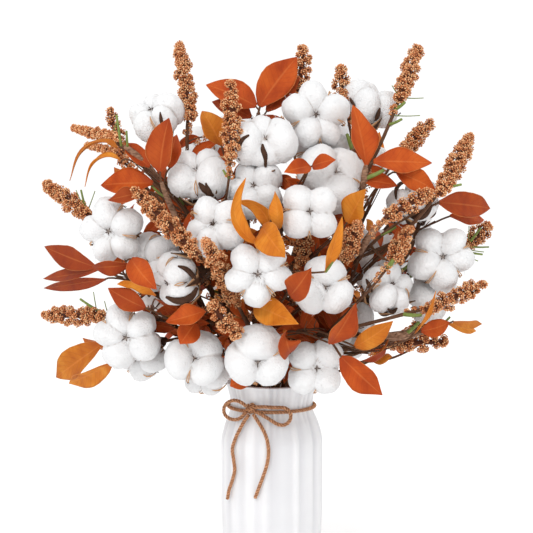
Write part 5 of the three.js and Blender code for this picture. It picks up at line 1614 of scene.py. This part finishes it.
# %% All that a stem carries but its heads
def stems(name, order, seed, stalk_radii, twig_radii, tones, sides=7):
    """A new shape with the stalk and twigs of a spray, and all that grows on them"""
    stalk, twigs = ways[name]
    shape = Shape()
    twig(shape, stalk, *stalk_radii, seed, tones[0])
    for index, bends in enumerate(twigs):
        twig(shape, bends, *twig_radii, seed + 20 * (index + 1), tones[index + 1], sides)
    dress(shape, name, order)
    inner_growth(shape, name, order)
    return shape


def tally(kind):
    print(kind, sum(count for name, count in triangles.items() if name.startswith(kind)), "triangles")


# %% The cotton stems
for order, (name, row) in enumerate(cotton_stems.items()):
    twig_tones = [0.6 * chance(order + 7 * index) for index in range(len(ways[name][1]))]
    shape = stems(name, order, order, (2.5, 1.9), (1.7, 1.3), [0.3 * chance(order + 60), *twig_tones])
    for boll_name in row["heads"]:
        burr(shape, boll_frames[boll_name])
    place(name.replace("cotton_stem", "wood"), shape, wood_finishes(burr_finish), name, "bark")
tally("wood")

# %% [markdown]
# ## Lint
# An open boll is three to five locks of lint, each a plump pillow, pressed together with deep grooves that
# meet in a dark hollow. Voxels or metaballs could blend them, but would round the grooves. Here the surface
# is read along rays from the boll's middle: the farthest pillow that a ray meets gives the point, so the
# grooves stay sharp, and noise then lifts soft curls and a fine nap.


# %% Locks of lint
def locks_of(boll):
    """The angle and the size of each lock, going round from the first"""
    if boll["locks"]:
        angles = np.radians(boll["locks"])
    else:
        strays = [chance(boll["order"] * 3 + lobe) - 0.5 for lobe in range(boll["lobes"])]
        angles = boll["spin"] + 2 * math.pi * np.arange(boll["lobes"]) / boll["lobes"]
        angles = angles + math.radians(20) * np.array(strays)
    sizes = [0.88 + 0.2 * chance(boll["order"] * 7 + lobe) for lobe in range(len(angles))]
    return angles, np.array(sizes)


lint_rows, lock_columns = 36, 14
core_share, core_front, core_back = 0.7, 0.36, 0.55
lock_widths = {3: 0.55, 4: 0.5, 5: 0.43}


def lint(shape, boll):
    """The locks of a boll as one skin; gives its points, the locks' angles and the slope of each row"""
    radius = boll["radius"]
    angles, sizes = locks_of(boll)
    count = len(angles)
    following = np.append(angles[1:], angles[0] + 2 * math.pi)
    grooves = (angles + following) / 2
    before = np.append(grooves[-1] - 2 * math.pi, grooves[:-1])
    around = [np.linspace(low, high, lock_columns, endpoint=False) for low, high in zip(before, grooves)]
    around = np.concatenate(around)
    lean = math.pi * (np.arange(1, lint_rows) / lint_rows) ** 1.12
    across = np.sin(lean)[:, None]
    ahead = np.cos(lean)[:, None] + 0 * around
    rays = np.stack([across * np.cos(around), across * np.sin(around), ahead], axis=-1)
    core_rays = rays / (np.array([core_share, core_share, core_front]) * radius)
    core_rays[..., 2] /= np.where(rays[..., 2] < 0, core_back / core_front, 1)
    reach = [1 / np.linalg.norm(core_rays, axis=-1)]
    for angle, size, low, high in zip(angles, sizes, before, grooves):
        gap = min(1.25, (high - low) / (2 * math.pi / max(count, 4)))
        axes = np.array([0.5, lock_widths[count] * gap, 0.62]) * radius * size
        middle = np.array([0.52, 0, 0.04 + 0.22 * (chance(boll["order"] + 11 * angle) - 0.5)]) * radius
        cos, sin = math.cos(angle), math.sin(angle)
        turn = np.array([[cos, -sin, 0], [sin, cos, 0], [0, 0, 1]])
        local = rays @ turn / axes
        shift = middle / axes
        a, b, c = (local**2).sum(-1), local @ shift, shift @ shift - 1
        inside = b**2 - a * c
        reach.append(np.where((inside > 0) & (b > 0), (b + np.sqrt(np.maximum(inside, 0))) / a, 0))
    ordered = np.sort(np.array(reach), axis=0)
    best = ordered[-1] + 0.01 * radius
    crease = np.exp(-(ordered[-1] - ordered[-2]) / (0.035 * radius))
    basis = np.array([boll["up"], boll["right"], boll["front"]])
    flat_rays = (rays @ basis).reshape(-1, 3)
    lengths = best.reshape(-1)
    seed = Vector((boll["order"] * 3.1, 0, 0))
    curls = []
    for ray, length in zip(flat_rays, lengths):
        point = Vector(ray * length)
        soft = noise.fractal(point / 8 + seed, 0.9, 2.1, 3)
        nap = noise.noise(point / 2.1 + seed)
        curls.append(1.0 * soft + 0.42 * nap)
    lengths = lengths + np.array(curls) * (1 - 0.6 * crease.reshape(-1)) * radius / 26
    points = (boll["centre"] + flat_rays * lengths[:, None]).reshape(lint_rows - 1, -1, 3)
    start = boll["centre"] + boll["front"] * 0.26 * radius
    end = boll["centre"] - boll["front"] * 0.55 * radius
    # Painted shade: grey-brown where two locks nearly meet in a groove, and in the pit at the front where all
    # the grooves meet.
    pit_shade = np.exp(-((lean / 0.2) ** 2))[:, None] + 0 * around
    shade = np.clip(np.maximum(0.6 * crease, pit_shade), 0, 1).reshape(-1)
    shape.add(*closed_rings(points, [start], [end]), shade=np.append(shade, [1, 1]))
    return points, angles, lean


# %% Pale edges, dark hearts and stray hairs
def dry_edges(shape, boll, points, grooves, lean):
    """The pale dry edges of the burr that show in some grooves, with a dark point at the outline"""
    for groove in range(grooves):
        seed = 17 * boll["order"] + groove
        if chance(seed) < 0.4:
            continue
        inner = math.radians(34 + 26 * chance(seed + 1))
        rows = np.flatnonzero((lean > inner) & (lean < math.radians(100)))[::2]
        line = points[rows, lock_columns * groove]
        outward = units(line - boll["centre"])
        arch = np.sin(np.linspace(0.15, 2.6, len(rows)))[:, None]
        line = line + outward * (0.9 + 2.2 * arch)
        side = unit(np.cross(outward[0], line[-1] - line[0]))
        share = np.linspace(0, 1, len(rows))
        for way in (-1, 1):
            spread = 1.3 * np.sin(math.pi * share) * (0.4 + 0.6 * chance(seed + way))
            path = line + side * way * spread[:, None]
            path = np.vstack([path, path[-1] + outward[-1] * 1.6 + side * 0.8 * way])
            radii = np.append(0.26 + 0.2 * np.sin(math.pi * share * 0.9 + 0.1), 0.25)
            tube(shape, path, radii, 5, mark=1, across=np.append(1 - 0.9 * share**6, 0.0))


def heart(shape, boll, angles):
    """Dark dry fibres where the grooves meet"""
    radius, order = boll["radius"], boll["order"]
    for index, angle in enumerate([*angles, *angles]):
        turn = angle + math.pi / len(angles) + 0.5 * (chance(order * 13 + index) - 0.5)
        outward = wheel(turn, boll["up"], boll["right"])
        root = boll["centre"] + boll["front"] * 0.22 * radius
        middle = root + boll["front"] * 0.2 * radius + outward * 0.05 * radius
        reach = 0.07 + 0.1 * chance(order + 5 * index)
        tip = boll["centre"] + boll["front"] * (0.4 + 0.1 * chance(index)) * radius + outward * reach * radius
        tube(shape, eased(np.array([root, middle, tip])), (0.5, 0.16), 4, mark=1)


fibre_count, fibre_radii = 60, np.array([0.16, 0.13, 0.06])


def fibres(shape, boll, points):
    """Short stray hairs that soften the outline"""
    rows, wide = points.shape[:2]
    for index in range(fibre_count):
        seed = boll["order"] * 97 + index
        row = 3 + int(chance(seed) * (rows - 12))
        column = int(chance(seed + 0.37) * wide)
        root = points[row, column]
        normal = unit(root - boll["centre"])
        drift = unit(np.array([chance(seed + shift) - 0.5 for shift in (0.11, 0.23, 0.71)]))
        drift = unit(drift - normal * (drift @ normal) * 0.6)
        length = 1.6 + 3.0 * chance(seed + 0.53)
        bend = root + normal * 0.35 * length + drift * 0.5 * length
        tip = root + normal * (0.1 + 0.25 * chance(seed + 0.91)) * length + drift * length
        tube(shape, np.array([root - normal * 0.4, bend, tip]), fibre_radii, 3)


# %% [markdown]
# ## Dark bracts, and the lint's finish
# Stiff dark bracts curl over some bolls. They could be bent by hand, but would then miss the spot where the
# photo shows them, so each is a few pixels, laid on the foremost lint near them. The lint's finish is nearly
# white, with painted shade, grey-brown, deep in the grooves and in the pit where they meet, and a fine nap in
# its bump.

# %% Dark bracts: pixels of the front view, a thickness, and how far they stand off the lint
bract_routes = {
    "boll_10": [
        ([(178, 266), (186, 269), (193, 276), (197, 285)], 1.9, 0.3),
        ([(166, 297), (175, 300.5), (184, 300.5), (192, 296), (197, 288)], 2.8, 0.3),
    ],
    "boll_01": [([(160.2, 112), (161, 119), (161.5, 125)], 1.3, -0.2)],
    "boll_02": [
        ([(199, 183), (205, 189), (213, 196)], 2.9, -0.45),
        ([(206, 183), (209, 193), (208, 200)], 2.2, -0.4),
    ],
    "boll_03": [
        ([(262.5, 144), (263, 150), (265, 156), (265.5, 167)], 2.0, -0.35),
        ([(240, 150), (240, 144), (243, 139), (249, 135)], 1.5, -0.1),
    ],
    "boll_05": [
        ([(350, 98), (352, 102), (355, 106)], 1.2, 0.1),
        ([(380, 108), (378, 115), (375, 121)], 1.6, -0.1),
    ],
    "boll_13": [
        ([(396, 199), (396, 190), (400, 184), (405, 182)], 1.5, 0.2),
        ([(408, 212), (415, 216), (424, 214), (431, 206)], 3.2, 0.2),
    ],
    "boll_15": [
        ([(366, 279), (369, 285), (372, 292)], 1.5, 0.1),
        ([(388, 309), (393, 312), (397, 308)], 1.5, 0.1),
    ],
}
print("bracts", sum(len(routes) for routes in bract_routes.values()))


def bracts(shape, boll, points):
    """Stiff dark bracts that hug a boll, laid on its lint by pixels"""
    points = points.reshape(-1, 3)
    pixels_now = pixels_of(points)
    share = np.linspace(0, 1, 18)
    for pixels, thickness, lift in bract_routes.get(boll["name"], []):
        bract_route = []
        for pixel in pixels:
            aside = np.hypot(*(pixels_now - pixel).T)
            near = np.flatnonzero(aside < max(3.5, aside.min() + 0.5))
            bract_route.append(seen(pixel, points[near, 1].min() - lift * thickness))
        radii = thickness * (0.2 + np.sin(math.pi * (0.06 + 0.84 * share)))
        tube(shape, spline(bract_route, share), radii, 8, mark=1, across=0.2)


# %% The lint's finish
cotton = Finish("loose_lint", Roughness=0.95, Specular_IOR_Level=0.05, Sheen_Weight=0.15, Sheen_Roughness=0.6)
nap = cotton.grain(700, 5)
soft = cotton.grain(90, 4)
lint_color = cotton.blend(soft, tint(221, 221, 222), tint(234, 234, 234))
# Painted shade, grey-brown, deep in the grooves and in the pit.
lint_color = cotton.blend(cotton.spread(cotton.read("shade"), 0.05, 1.1), lint_color, tint(138, 116, 100))
cotton.set(Base_Color=lint_color)
cotton.bump(nap + 0.6 * soft, 0.75, 0.0015)
print("nodes in the lint's finish", len(cotton.tree.nodes))

# %% The lint of each node
for name, members in lint_nodes.items():
    shape = Shape()
    for boll_name in members:
        boll = dict(boll_frames[boll_name])
        boll["radius"] *= boll["fills"]
        points, angles, lean = lint(shape, boll)
        dry_edges(shape, boll, points, len(angles), lean)
        heart(shape, boll, angles)
        fibres(shape, boll, points)
        bracts(shape, boll, points)
    place(name.replace("lint", "boll"), shape, [cotton.material, burr_finish.material], name, "lint")
tally("boll")

# %% [markdown]
# ## The millet sprays and the leafy twigs
# Millet and leaves stand on thinner stems than cotton, but grow on them in the same way. They could each
# have a builder of their own, but the stems' one is used again, and only the heads that it carries change.

# %% The millet sprays
for order, (name, row) in enumerate(millet_sprays.items()):
    stalk, twigs = ways[name]
    shape = stems(name, order + 40, order + 300, (2.3, 1.5), (1.3, 1.1), [0.5] + [0.6] * len(twigs))
    for index, (head, bends) in enumerate(zip(row["heads"], [stalk, *twigs])):
        seeds(shape, head, bends, 100 * order + 17 * index + 3)
    place(name.replace("millet_spray", "millet"), shape, wood_finishes(seed_finish), name, "millet")
tally("millet")

# %% The leafy twigs
for order, (name, row) in enumerate(leaf_sprays.items()):
    tones = [0.4] + [0.5] * len(ways[name][1])
    shape = stems(name, order + 80, order + 500, (2.3, 1.0), (1.1, 0.8), tones, sides=6)
    for index, head in enumerate(row["heads"]):
        leaf_blade(shape, head, 10 * order + index + 0.5)
    place(name.replace("leaf_spray", "leaves"), shape, wood_finishes(leaf_finish), name, "leaf")
tally("leaves")

# %% [markdown]
# ## Floor and light
# The photo is taken on plain white with soft light from above and in front. A pale floor under a white sky
# gives the same even fill, a soft lamp over the left shoulder models the lobes, and a wide, weak one behind
# keeps the far side from going grey. The picture shows white as white, so the plain view of colours is
# used, not the filmic one, which greys whites and fades rust.

# %% Floor, sky and lamps
floor_data = bpy.data.meshes.new("floor")
floor_half, floor_level = 4.0, -0.0005
corners = [(x * floor_half, y * floor_half, floor_level) for x, y in ((-1, -1), (1, -1), (1, 1), (-1, 1))]
floor_data.from_pydata(corners, [], [(0, 1, 2, 3)])
floor = bpy.data.objects.new("floor", floor_data)
bpy.context.scene.collection.objects.link(floor)
pale = Finish("pale_floor", Roughness=0.9, Specular_IOR_Level=0.1)
pale.set(Base_Color=pale.blend(pale.grain(6, 2), tint(253, 253, 253), tint(255, 255, 255)))
floor_data.materials.append(pale.material)

world = bpy.data.worlds.new("white_sky")
world.use_nodes = True
sky = world.node_tree.nodes["Background"]
sky.inputs["Color"].default_value = (1, 1, 1, 1)
sky.inputs["Strength"].default_value = 1.05
bpy.context.scene.world = world
bpy.context.scene.view_settings.view_transform = "Standard"


def lamp(name, where, size, power):
    """A square lamp that shines on the middle of the bunch"""
    data = bpy.data.lights.new(name, "AREA")
    data.size, data.energy = size, power
    light = bpy.data.objects.new(name, data)
    light.location = where
    aim = Vector((0, 0, 0.28)) - Vector(where)
    light.rotation_euler = aim.to_track_quat("-Z", "Y").to_euler()
    bpy.context.scene.collection.objects.link(light)


lamp("key_lamp", (-0.6, -2.0, 1.5), 0.6, 18)
lamp("back_lamp", (0.4, 1.6, 1.6), 1.2, 5)
print("triangles in all", sum(triangles.values()))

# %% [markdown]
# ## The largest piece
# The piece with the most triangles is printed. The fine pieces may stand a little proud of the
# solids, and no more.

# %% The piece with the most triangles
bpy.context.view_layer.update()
print("most triangles", max(triangles, key=triangles.get), max(triangles.values()))
